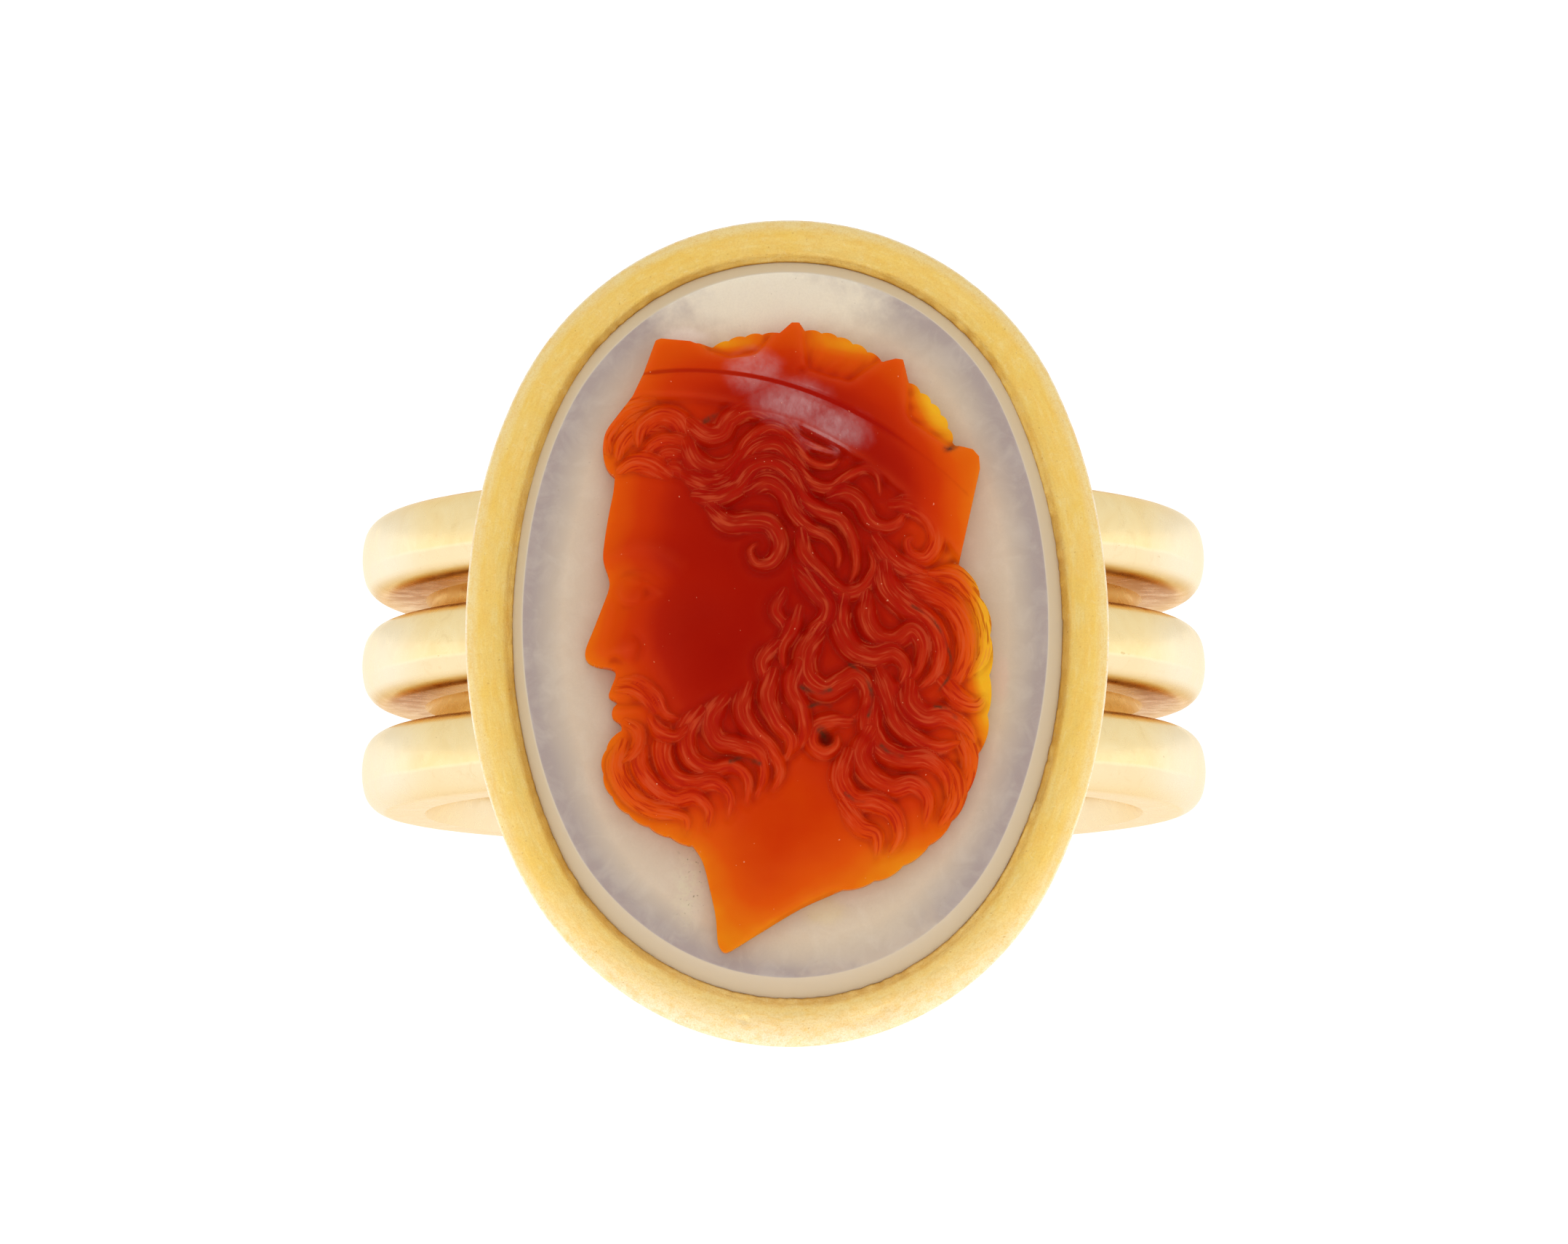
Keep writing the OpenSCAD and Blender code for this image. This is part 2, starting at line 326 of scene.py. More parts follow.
def makeBezel():
    k, foot = rim["leanIn"], rim["footHigh"]
    falls = [rim["wallFall"] * row for row in rim["wallRows"]]  # from the finger to the rim
    wall = [(-k * fall, foot - fall) for fall in falls]
    lip = -rim["wide"]
    dome = [(a, domeHigh(a)) for a in np.linspace(-0.1, lip + 0.09, rim["domeSteps"])]
    edge = roundCorner(wall[-1], (0, foot), dome[0], rim["edgeRound"])
    lipEdge = roundCorner(dome[-1], (lip, domeHigh(lip)), (lip, rim["lipFoot"]), rim["lipRound"])
    ledge = lip + rim["over"]
    under = [(lip + 0.02, rim["underHigh"]), (ledge, rim["girdle"]), (ledge, rim["seat"])]
    bezel = drawSection("bezel", onJoin(wall + edge + dome + lipEdge + under), closed=False)
    sweepOval(*rim["sweepSteps"])

    # floor of the setting
    goTo("OBJECT")
    places = readPlaces(bezel)
    pickVertices(bezel, np.abs(places[:, 2] - rim["seat"]) < 0.01)
    bpy.ops.mesh.edge_face_add()

    # wall runs down to the curve of the finger
    goTo("OBJECT")
    away, outX, outY = ovalPlace(places[:, 0], places[:, 1])
    share = (foot - places[:, 2]) / rim["wallFall"]
    onWall = (np.abs(away + k * share * rim["wallFall"]) < 0.01) & (share > 0.05)
    edgeX, edgeY = places[:, 0] - outX * away, places[:, 1] - outY * away
    a = 1 + (k * outX) ** 2
    b = 2 * (foot + k * outX * edgeX)
    c = edgeX**2 + foot**2 - rim["saddle"] ** 2
    fall = (b - np.sqrt(b * b - 4 * a * c)) / (2 * a) * share
    slid = np.column_stack([edgeX - outX * k * fall, edgeY - outY * k * fall, foot - fall])
    places[onWall] = slid[onWall]
    writePlaces(bezel, places)

    # closed back, bent round the finger
    pickVertices(bezel, onWall & (share > 0.99))
    for size in rim["backRings"]:
        bpy.ops.mesh.extrude_region_move()
        bpy.ops.transform.resize(value=(size, size, 1), center_override=(0, 0, 0))
    bpy.ops.mesh.edge_face_add()
    goTo("OBJECT")
    places = readPlaces(bezel)
    isNew = np.arange(len(places)) >= len(slid)
    places[isNew, 2] = np.sqrt(rim["saddle"] ** 2 - places[isNew, 0] ** 2)
    writePlaces(bezel, places)
    wearRim(bezel)
    sealAndSmooth(bezel, 50)
    return bezel


# Each dent has its place, width and depth. A lip that moves outwards sinks down the stone's bevel.
wear = dict(dents=[(1.55, -9.35, 0.22, 0.03), (2.0, -9.2, 0.16, 0.035), (2.35, -9.0, 0.14, 0.025),
                   (-1.15, -9.3, 0.07, 0.06), (-6.9, 0.6, 0.5, 0.02), (6.7, 3.1, 0.45, 0.02),
                   (3.9, 8.1, 0.3, 0.02), (-4.4, 7.6, 0.4, 0.02), (-4.6, -7.6, 0.5, 0.025),
                   (5.2, -7.0, 0.4, 0.02)],
            wornFrom=12.6, wave=0.012, lipReach=0.16, lipWave=0.03, lipJag=0.03, lipUp=0.1, lipBack=-0.015,
            lipSlide=2.27)


def jags(turn, seed, count=420):  # sharp little steps round the rim, rough here and even there
    rng = np.random.default_rng(seed)
    at = (turn / (2 * math.pi)) % 1 * count
    steps = rng.uniform(0, 1, count + 1) ** 2 * (0.3 + 0.7 * np.sin(np.arange(count + 1) * 0.05 + seed) ** 2)
    return np.interp(at, np.arange(count + 1), steps)


def waves(turn, seed):  # an uneven hand's wander round the rim
    rng = np.random.default_rng(seed)
    total = np.zeros(turn.shape)
    for rate in (3, 5, 8, 13, 21, 34, 55, 89):
        total += np.sin(rate * turn + rng.uniform(0, 6.28)) * rng.uniform(0.4, 1) / rate**0.5
    return total / 2


def wearRim(bezel):  # dents, a wavy face, and a lip that was rubbed down by hand
    x, y, z = readPlaces(bezel).T
    away, outX, outY = ovalPlace(x, y)
    turn = np.arctan2(y, x)
    face = (z > rim["footHigh"] - 0.1) & (away > -rim["wide"] - 0.08)
    top = np.clip((z - wear["wornFrom"]) / 0.3, 0, 1) * face
    for dx, dy, wide, deep in wear["dents"]:
        apart = np.hypot(x - dx, y - dy) / wide
        z = z - deep * np.exp(-(apart**2)) * top
    z = z - wear["wave"] * (1 + waves(turn, 3)) * top
    nearLip = np.clip(1 - np.abs(away + rim["wide"]) / wear["lipReach"], 0, 1) * face
    shift = (wear["lipWave"] * waves(turn, 8) + wear["lipJag"] * (jags(turn, 4) - 0.3)) * nearLip
    shift = np.maximum(shift, wear["lipBack"])
    x, y, z = x + outX * shift, y + outY * shift, z - shift * wear["lipSlide"]
    y = y + wear["lipUp"] * soft(y, 3, 8) * np.clip(-away / rim["wide"], 0, 1) * face
    writePlaces(bezel, np.column_stack([x, y, z]))


hoop = dict(count=3, pitch=2.72, inner=8.8, halfWide=1.03, bellied=0.33, cornerRadius=0.7, cornerAt=10.002,
            crownRadius=2.0, crownAt=8.745, steps=300, outerFrom=9.6, wobble=0.035, stepAt=-0.36,
            innerTo=9.2, sideFrom=0.94, underFrom=0.9, underTo=10.2, lipFrom=0.74, endFrom=8.6, endFull=10.6,
            endShare=0.85)


def arcPlaces(outAt, acrossAt, radius, first, last, count):  # an arc of a hoop's section
    turns = np.linspace(first, last, count)
    return [(outAt + radius * math.cos(turn), acrossAt + radius * math.sin(turn)) for turn in turns]


def makeHoops():
    h = hoop
    belly = [(h["inner"] + h["bellied"] * t**2.2, h["halfWide"] * t) for t in np.linspace(0.1, 1, 10)]
    cornerOff = h["halfWide"] - h["cornerRadius"]
    bend = math.asin(cornerOff / (h["crownRadius"] - h["cornerRadius"]))
    corner = arcPlaces(h["cornerAt"], cornerOff, h["cornerRadius"], math.pi / 2, bend, 10)
    crown = arcPlaces(h["crownAt"], 0, h["crownRadius"], bend, 0, 6)[1:]
    upper = [*belly, (9.35, h["halfWide"]), (9.75, h["halfWide"]), *corner, *crown]
    section = [(r, -y) for r, y in upper] + upper[-2::-1]
    hoops = []
    for i in range(h["count"]):
        at = (i - 1) * h["pitch"]
        one = drawSection(f"hoop{i + 1}", [(r, at + y, 0) for r, y in section], closed=True)
        bpy.ops.mesh.spin(steps=h["steps"], angle=2 * math.pi, center=(0, 0, 0), axis=(0, -1, 0))
        goTo("OBJECT")
        places = readPlaces(one)
        turn, reach = np.arctan2(places[:, 0], places[:, 2]), np.hypot(places[:, 0], places[:, 2])
        outside = reach > h["outerFrom"]
        outer = np.clip((reach - h["outerFrom"]) / 1.1, 0, 1)
        shrink = h["wobble"] * outer * (1 + waves(turn, 20 + i)) / 2
        places[:, 0] -= shrink * np.sin(turn)
        places[:, 2] -= shrink * np.cos(turn)
        writePlaces(one, places)
        up = places[:, 1] - at
        # where the material paints light and shade: painted shade on the inside, on the sides and on the
        # lower lips, a painted pale reflection at the ends, and painted light from below on the lowest hoop's
        # underside and inside
        inner = np.clip((h["innerTo"] - reach) / 0.1, 0, 1)
        side = np.clip((np.abs(up) - h["sideFrom"]) / 0.06, 0, 1) * (1 - inner) * ((i > 0) | (up > 0))
        lowest = np.clip((-h["underFrom"] - up) / 0.1, 0, 1) * (i == 0) * (reach < h["underTo"])
        end = h["endShare"] * soft(np.abs(places[:, 0]), h["endFrom"], h["endFull"]) * outside
        lip = np.clip((-up - h["lipFrom"]) / 0.22, 0, 1) * outside * (i > 0)
        under = np.maximum(lowest, inner * (i == 0))
        for name, values in dict(Up=up, Lip=lip, End=end, Side=side, Inner=inner, Under=under).items():
            keepValue(one, "hoop" + name, values)
        sealAndSmooth(one, 35)
        hoops.append(one)
    startFresh()
    for one in hoops:
        one.select_set(True)
    bpy.context.view_layer.objects.active = hoops[0]
    bpy.ops.object.join()
    hoops[0].name = hoops[0].data.name = "hoops"
    return hoops[0]


def wearFlat(piece):  # worn a touch flat where it stands and at its back
    low, high = (np.array(corner) for corner in cadBox)
    writePlaces(piece, np.clip(readPlaces(piece), low + 0.00001, high - 0.00001))


goldLook = dict(
    # the rim's edge tone below is a painted highlight
    rimEdgeHighlight=(1.0, 0.93, 0.78), rimPale=(0.93, 0.73, 0.34), rimMid=(0.94, 0.65, 0.165),
    # the rim's low tone below is painted light from below
    rimDeep=(0.96, 0.64, 0.16), rimLip=(0.98, 0.70, 0.22), rimLitBelow=(0.99, 0.89, 0.68),
    # the dark brown tone at the end of the line below is painted shade in the gap at the rim's lip
    strokeDeep=(0.90, 0.54, 0.10), strokePale=(0.97, 0.79, 0.36), gapShade=(0.52, 0.29, 0.08),
    # the hoops' low tone below is a painted reflection under the step, and their step tone on the next line a
    # painted highlight on it
    hoopDeep=(0.90, 0.70, 0.35), hoopPale=(0.93, 0.76, 0.42), hoopLowReflection=(0.84, 0.68, 0.42),
    # the hoops' end tone is a painted reflection, their lip, side and inner tones painted shade, and their
    # under tone painted light from below
    hoopStepHighlight=(0.97, 0.87, 0.58), hoopEnd=(0.86, 0.86, 0.80), hoopLip=(0.62, 0.39, 0.11),
    hoopSide=(0.76, 0.47, 0.17), hoopInner=(0.82, 0.53, 0.18), hoopUnder=(0.88, 0.74, 0.50))

# Flecks: a noise's scale, detail, roughness and distortion, where it starts and is full, how much, the tone
rimClouds = [((0.8, 4.0, 0.65, 0.4), (0.4, 0.65), 0.3, goldLook["rimPale"]),
             ((3.2, 5.0, 0.7, 1.2), (0.52, 0.7), 0.45, goldLook["rimDeep"])]
rimFlecks = [((26.0, 2.0, 0.6), (0.45, 0.62), 0.28, (0.80, 0.50, 0.12)),  # grain
             ((7.0, 5.0, 0.75, 0.8), (0.54, 0.66), 0.32, (0.88, 0.55, 0.10)),  # mottle
             ((5.0, 5.0, 0.75, 1.5), (0.42, 0.33), 0.35, (0.98, 0.82, 0.44)),  # rubs
             ((11.0, 2.0, 0.5), (0.7, 0.76), 0.5, (0.62, 0.34, 0.08))]  # specks
hoopSmudges = [((2.2, 5.0, 0.7, 1.0), (0.56, 0.68), 0.14, (0.60, 0.38, 0.14))]
hoopNicks = [((4.0, 3.0, 0.6), (0.71, 0.75), 0.5, (0.55, 0.36, 0.13))]


def rimGold():
    g = goldLook
    material, tree, shader = newMaterial("satin rim gold", Metallic=1.0, Roughness=0.5)
    places = ringPlaces(tree)
    flow = stored(tree, "rimFlow", "Vector")
    flow = addNode(tree, "VectorMath", {0: flow, 1: (2.2, 2.2, 1.0)}, operation="MULTIPLY")
    across = stored(tree, "rimAcross")
    along = addNode(tree, "SeparateXYZ", {"Vector": places}).node.outputs["Y"]
    # painted highlight: near white along the rim's outer edge and the top of its wall, then a paler outer
    # band
    colour = ramp(tree, across, [(0.03, g["rimEdgeHighlight"]), (0.07, g["rimPale"]), (0.16, g["rimPale"]),
                                 (0.3, g["rimMid"]), (0.8, g["rimMid"]), (0.93, g["rimDeep"]),
                                 (1.0, g["rimLip"])])
    outer = ramp(tree, across, [(0.1, 1.0), (0.75, 0.25)])
    # painted light from below: the lower end of the rim, most on its outer part, is tinted pale cream
    colour = tint(tree, colour, mapRange(tree, along, -5.5, -9.8), outer, g["rimLitBelow"])
    colour = layFlecks(tree, colour, places, rimClouds)
    strokes = noise(tree, flow, 1.0, 4.0, 0.65)
    colour = tint(tree, colour, rise(tree, strokes, 0.5, 0.64), 0.3, g["strokeDeep"])
    colour = tint(tree, colour, rise(tree, strokes, 0.46, 0.36), 0.3, g["strokePale"])
    colour = layFlecks(tree, colour, places, rimFlecks)
    # painted shade: a patchy dark brown line along the lip, in the gap where the gold meets the stone
    patchyDirtAndShade = ramp(tree, noise(tree, places, 3.5, 4.0, 0.7), [(0.45, 0.0), (0.6, 0.8)])
    colour = tint(tree, colour, stored(tree, "lipGapShade"), patchyDirtAndShade, g["gapShade"])
    tree.links.new(colour, shader.inputs["Base Color"])
    rough = ramp(tree, noise(tree, flow, 0.6, 3.0), [(0.3, 0.42), (0.7, 0.6)])
    tree.links.new(rough, shader.inputs["Roughness"])
    fine = bumpFrom(tree, shader, strokes, 0.00002, 0.6)
    bumpFrom(tree, shader, noise(tree, places, 9.0, 4.0, 0.7), 0.00002, 0.5, fine)
    return material


def hoopGold():
    g = goldLook
    material, tree, shader = newMaterial("worn hoop gold", Metallic=1.0, Roughness=0.25, Coat_Weight=0.05,
                                         Coat_Roughness=0.12, Specular_Tint=(0.94, 0.80, 0.58, 1))
    places = ringPlaces(tree)
    drawn = ringPlaces(tree, (0.5, 9.0, 0.5))
    cloud = noise(tree, places, 0.9, 4.0, 0.6, 0.6)
    colour = blendColour(tree, rise(tree, cloud, 0.35, 0.65), g["hoopDeep"], g["hoopPale"])
    up = wander(tree, stored(tree, "hoopUp"), places, 0.5, 2.0, 0.12)
    # painted reflection: below the step across each hoop's face the tone changes
    lower = mapRange(tree, up, hoop["stepAt"] + 0.05, hoop["stepAt"] - 0.05)
    colour = blendColour(tree, lower, colour, g["hoopLowReflection"])
    # painted highlight: a narrow pale line along the step
    stepHighlight = ramp(tree, sums(tree, "SUBTRACT", up, hoop["stepAt"] - 0.5),
                [(0.44, 0.0), (0.49, 1.0), (0.51, 1.0), (0.56, 0.0)])
    colour = tint(tree, colour, stepHighlight, 0.3, g["hoopStepHighlight"])
    colour = layFlecks(tree, colour, places, hoopSmudges)
    colour = layFlecks(tree, colour, ringPlaces(tree, (0.35, 1.2, 0.6)), hoopNicks)
    # painted light and shade by place: a pale painted reflection at the ends, painted shade on the lower
    # lips, the sides and the insides, and painted light from below on the lowest hoop's underside and inside
    for name in ("hoopEnd", "hoopLip", "hoopSide", "hoopInner", "hoopUnder"):
        colour = blendColour(tree, stored(tree, name), colour, g[name])
    tree.links.new(colour, shader.inputs["Base Color"])
    rough = ramp(tree, noise(tree, places, 1.5, 4.0, 0.6), [(0.3, 0.2), (0.7, 0.36)])
    tree.links.new(rough, shader.inputs["Roughness"])
    fine = bumpFrom(tree, shader, noise(tree, drawn, 1.0, 5.0, 0.7), 0.000006, 0.25)
    bumpFrom(tree, shader, noise(tree, places, 1.6, 3.0, 0.5), 0.00004, 0.2, fine)
    return material


def tellRim(bezel):  # what the rim's material reads: its run, its width and the painted shade of the gap at its lip
    x, y, z = readPlaces(bezel).T
    away, outX, outY = ovalPlace(x, y)
    keepValue(bezel, "rimFlow", np.column_stack([outX * 9, outY * 9, (away + z * 0.3) * 9]))
    onFace = z > rim["footHigh"] - 0.12
    onWall = np.clip(rim["footHigh"] - 0.3 - z, 0, 0.35)
    keepValue(bezel, "rimAcross", np.where(onFace, np.clip(-away / rim["wide"], 0, 1), onWall))
    keepValue(bezel, "lipGapShade", np.where(onFace, np.clip((-away - rim["wide"] + 0.03) / 0.04, 0, 1), 0.0))


# Pale stone

# Each flake has its turn round the edge, width and depth
stone = dict(edge=-0.78, seat=11.22, girdle=11.991, shoulder=-1.51, top=13.65, soft=0.05, edgeUp=0.09,
             edgeOut=0.1, inwards=(0.2, 0.35, 0.5, 0.7, 0.95, 1.25, 1.6, 2.0, 2.5, 3.2),
             sweepSteps=(150, 110), unevenReach=0.12, uneven=0.012, raiseFrom=12.8, raiseTo=13.6,
             raiseWithLip=(12.2, 12.7),
             flakes=[(0.62, 0.012, 0.05), (2.3, 0.01, 0.04), (3.9, 0.015, 0.05), (5.2, 0.01, 0.05)])


def makeGround():
    s = stone
    flat = (s["shoulder"] - 0.2, s["top"])
    corner = roundCorner((s["edge"], s["girdle"]), (s["shoulder"], s["top"]), flat, s["soft"], 5)
    bevel = [(s["edge"] + (s["shoulder"] - s["edge"]) * t, s["girdle"] + (s["top"] - s["girdle"]) * t)
             for t in np.linspace(0.1, 0.93, 12)]
    inwards = [(s["shoulder"] - d, s["top"]) for d in s["inwards"]]
    section = [(s["edge"], s["seat"]), (s["edge"], s["girdle"])] + bevel + corner + inwards
    ground = drawSection("stoneGround", onJoin(section), closed=False)
    sweepOval(*s["sweepSteps"])
    goTo("OBJECT")
    places = readPlaces(ground)
    for high in (s["top"], s["seat"]):
        away = ovalPlace(places[:, 0], places[:, 1])[0]
        inner = np.min(away) + 0.01 if high == s["top"] else s["edge"] + 0.01
        pickVertices(ground, (np.abs(places[:, 2] - high) < 0.001) & (away < inner))
        bpy.ops.mesh.edge_face_add()
        goTo("OBJECT")
    chipEdge(ground)
    sealAndSmooth(ground, 30)
    return ground


def chipEdge(ground):  # the ground's edge isn't quite even: tiny flakes and a wandering line
    s = stone
    x, y, z = readPlaces(ground).T
    away, outX, outY = ovalPlace(x, y)
    turn = np.arctan2(y, x)
    nearEdge = np.clip(1 - np.abs(away - s["shoulder"]) / s["unevenReach"], 0, 1) * (z > 13)
    z = z - nearEdge * s["uneven"] * (1 + waves(turn * 2, 5))
    for at, wide, deep in s["flakes"]:
        z = z - np.exp(-(((np.mod(turn, 2 * math.pi) - at) / wide) ** 2)) * nearEdge * deep
    raised = np.clip((z - s["raiseFrom"]) / (s["raiseTo"] - s["raiseFrom"]), 0, 1)
    low, high = s["raiseWithLip"]
    atTop = soft(y, -1, 2)  # there it moves with the rim's lip
    moved = atTop * np.clip((z - low) / (high - low), 0, 1) + (1 - atTop) * raised
    y = y + s["edgeUp"] * moved * np.clip(1.75 + away / 2, 0, 1)
    x = x - s["edgeOut"] * raised * soft(-x, 3.5, 6)
    writePlaces(ground, np.column_stack([x, y, z]))
    keepValue(ground, "fromEdge", np.clip(s["shoulder"] - away, -1, 5))


# Each patch has its place, size, how much and tone. The flecks are as on the gold.
stonePatches = [((-0.4, 7.9), (3.8, 1.7, 9), 0.85, (0.82, 0.73, 0.56)),  # the pale top
                ((1.6, -7.4), (3.0, 1.3, 9), 0.5, (0.66, 0.53, 0.37)),
                ((0.85, -6.75), (0.75, 0.5, 9), 0.4, (0.70, 0.54, 0.24)),  # stain under the cut
                # painted light: a pinkish glow of red light on the ground beside the back of the head
                ((5.05, -1.2), (0.3, 0.8, 9), 0.3, (0.72, 0.45, 0.36)),
                ((-2.4, 6.95), (0.8, 0.3, 9), 0.6, (0.86, 0.80, 0.68))]
stoneClouds = [((1.6, 5.0, 0.6, 0.8), (0.45, 0.75), 0.2, (0.80, 0.73, 0.60)),
               ((22.0, 3.0, 0.6), (0.4, 0.65), 0.1, (0.48, 0.38, 0.30))]
stoneResidue = [((7.0, 4.0, 0.7), (0.42, 0.56), 0.6, (0.66, 0.58, 0.40)),
                ((9.0, 3.0, 0.6), (0.63, 0.7), 0.8, (0.25, 0.21, 0.12))]
stoneSpecks = [((12.0, 2.0, 0.5), (0.74, 0.78), 0.4, (0.36, 0.28, 0.18))]


def paleStone():
    material, tree, shader = newMaterial("pale chalcedony", Roughness=0.32, Coat_Weight=0.08,
                                         Coat_Roughness=0.12, Subsurface_Weight=0.25, IOR=1.54,
                                         Subsurface_Radius=(1.0, 0.8, 0.6), Subsurface_Scale=0.0008,
                                         Specular_IOR_Level=0.2)
    places = ringPlaces(tree)
    fromEdge = stored(tree, "fromEdge")
    colour = ramp(tree, wander(tree, fromEdge, places, 0.6, 2.0, 0.3),
                  [(0.0, (0.36, 0.285, 0.265)), (0.25, (0.40, 0.325, 0.29)), (0.7, (0.54, 0.44, 0.34)),
                   (0.95, (0.63, 0.505, 0.37))])
    for middle, size, much, tone in stonePatches:
        colour = tint(tree, colour, spot(tree, places, (*middle, stone["top"]), size, 0.2, 1.6), much, tone)
    colour = layFlecks(tree, colour, places, stoneClouds)
    besideNeck = spot(tree, places, (-2.35, -6.1, stone["top"]), (0.5, 1.25, 9), 0.25, 2.5)
    colour = layFlecks(tree, colour, places, stoneResidue, besideNeck)
    colour = layFlecks(tree, colour, places, stoneSpecks)
    colour = blendColour(tree, rise(tree, fromEdge, 0.02, 0.0), colour, (0.59, 0.48, 0.345))  # the bevel
    tree.links.new(colour, shader.inputs["Base Color"])
    bumpFrom(tree, shader, noise(tree, places, 14.0, 4.0, 0.6), 0.000006, 0.3)
    return material


# Red stone, the carved head. Places are on the bezel's face, from its middle. Heights are over the ground.

head = dict(pitch=0.034, wide=10.1, tall=15.3, edgeHigh=0.38, rollWide=1.5, softBody=0.3,
            lockWide=1.3, lockRise=0.75, besideDeep=0.075, combLines=2.0, combDeep=0.026,
            bandCentre=(-2.5, -4.0), bandRadius=9.74, bandLean=0.125, bandRise=0.22, lineDeep=0.08,
            size=(0.987, 0.9967), shift=(0.01, -0.235), lowest=0.2, highest=2.08,
            masses=[(0.0, 2.0, 5.3, 6.0, 0, 1.72), (2.2, -1.0, 3.6, 5.0, 20, 1.5),
                    (-1.4, -0.4, 3.6, 4.0, 0, 1.7), (-2.2, -3.0, 2.9, 2.4, 0, 1.3),
                    (-0.1, -4.9, 2.9, 3.6, 20, 0.95), (-3.0, 0.2, 2.3, 3.2, 0, 1.2)],
            thinner=[(3.9, 3.2, 0.9, 1.6, -0.3), (4.8, -0.6, 0.75, 2.4, -0.42), (3.5, 5.5, 0.6, 0.8, -0.25),
                     (1.3, 6.9, 1.1, 0.3, -0.18), (-1.3, 6.95, 0.8, 0.2, -0.15), (-4.1, 4.7, 0.7, 1.0, 0.14),
                     (-1.6, -7.4, 0.8, 1.0, 0.07), (3.2, -5.2, 1.2, 0.5, -0.06)],  # and thicker at two places
            curlEye=(0.87, -2.54, 0.2), crownPit=(0.36, 6.26, 0.16), strandRise=0.026, cutRise=(0.34, 1.25))

# Locks of hair: half width, rise, then the places that each passes from root to tip
fringeLocks = [
    (0.26, 0.16, (-3.3, 5.5), (-3.8, 5.36), (-4.14, 5.05), (-4.36, 4.7), (-4.3, 4.3)),
    (0.22, 0.16, (-3.0, 5.0), (-3.5, 5.0), (-3.95, 4.62), (-4.1, 4.15)),
    (0.2, 0.2, (-2.4, 4.6), (-2.62, 5.05), (-3.05, 5.22), (-3.5, 4.95), (-3.6, 4.45)),
    (0.17, 0.16, (-2.35, 4.15), (-2.62, 4.46), (-3.05, 4.53), (-3.42, 4.3), (-3.5, 4.1)),
    (0.16, 0.15, (-2.36, 3.85), (-2.6, 4.14), (-2.93, 4.22), (-3.26, 4.02)),
    (0.14, 0.13, (-2.3, 3.6), (-2.56, 3.82), (-2.82, 3.9), (-3.1, 3.75)),
    (0.2, 0.14, (-2.9, 3.75), (-3.3, 4.02), (-3.75, 4.08), (-4.15, 3.85)),
]
sideLocks = [
    (0.2, 0.22, (-2.3, 4.98), (-1.95, 4.68), (-1.6, 4.72), (-1.38, 5.05), (-0.9, 5.26), (-0.25, 5.0),
     (0.2, 4.56), (0.75, 4.32), (1.25, 4.2)),
    (0.2, 0.22, (-2.4, 4.5), (-2.2, 4.04), (-1.7, 3.8), (-1.2, 3.98), (-0.9, 4.46), (-0.4, 4.78), (0.1, 4.42),
     (0.5, 4.0), (1.0, 3.9), (1.25, 4.1)),
    (0.19, 0.22, (-2.45, 3.7), (-1.95, 3.46), (-1.45, 3.54), (-1.06, 3.9), (-0.7, 4.28), (-0.25, 4.34),
     (0.12, 3.9), (0.5, 3.48), (1.0, 3.36), (1.4, 3.62), (1.8, 3.84), (2.12, 3.66), (2.2, 3.2)),
    (0.2, 0.24, (-2.2, 3.2), (-1.7, 3.16), (-1.2, 3.4), (-0.85, 3.82), (-0.4, 3.9), (0.02, 3.62), (0.32, 3.1),
     (0.75, 2.8), (1.26, 2.58), (1.56, 2.04), (1.6, 1.4), (1.36, 0.95)),
    (0.17, 0.2, (1.0, 3.15), (1.36, 3.24), (1.7, 3.04), (1.95, 2.6), (2.32, 2.46), (2.64, 2.6), (2.8, 2.9)),
    (0.17, 0.2, (-0.95, 3.3), (-0.5, 3.5), (-0.1, 3.25), (0.12, 2.8), (0.5, 2.4), (0.95, 2.2), (1.2, 1.8),
     (1.15, 1.4)),
    (0.19, 0.22, (2.5, 3.0), (2.95, 3.0), (3.4, 2.7), (3.56, 2.2), (3.3, 1.76), (2.92, 1.84), (2.84, 2.15),
     (3.04, 2.24)),
    (0.19, 0.24, (-1.85, 2.9), (-1.45, 2.55), (-0.95, 2.56), (-0.45, 2.5), (-0.2, 2.06), (-0.38, 1.62),
     (-0.75, 1.56), (-0.92, 1.88), (-0.72, 2.06)),
    (0.18, 0.2, (0.3, 2.3), (0.4, 1.8), (0.75, 1.35), (1.05, 1.02), (1.4, 0.86), (1.8, 1.02), (2.05, 1.5),
     (1.9, 2.0)),
    (0.18, 0.18, (2.1, 2.2), (2.4, 1.75), (2.85, 1.45), (3.3, 1.3), (3.75, 1.5), (4.1, 1.7)),
]
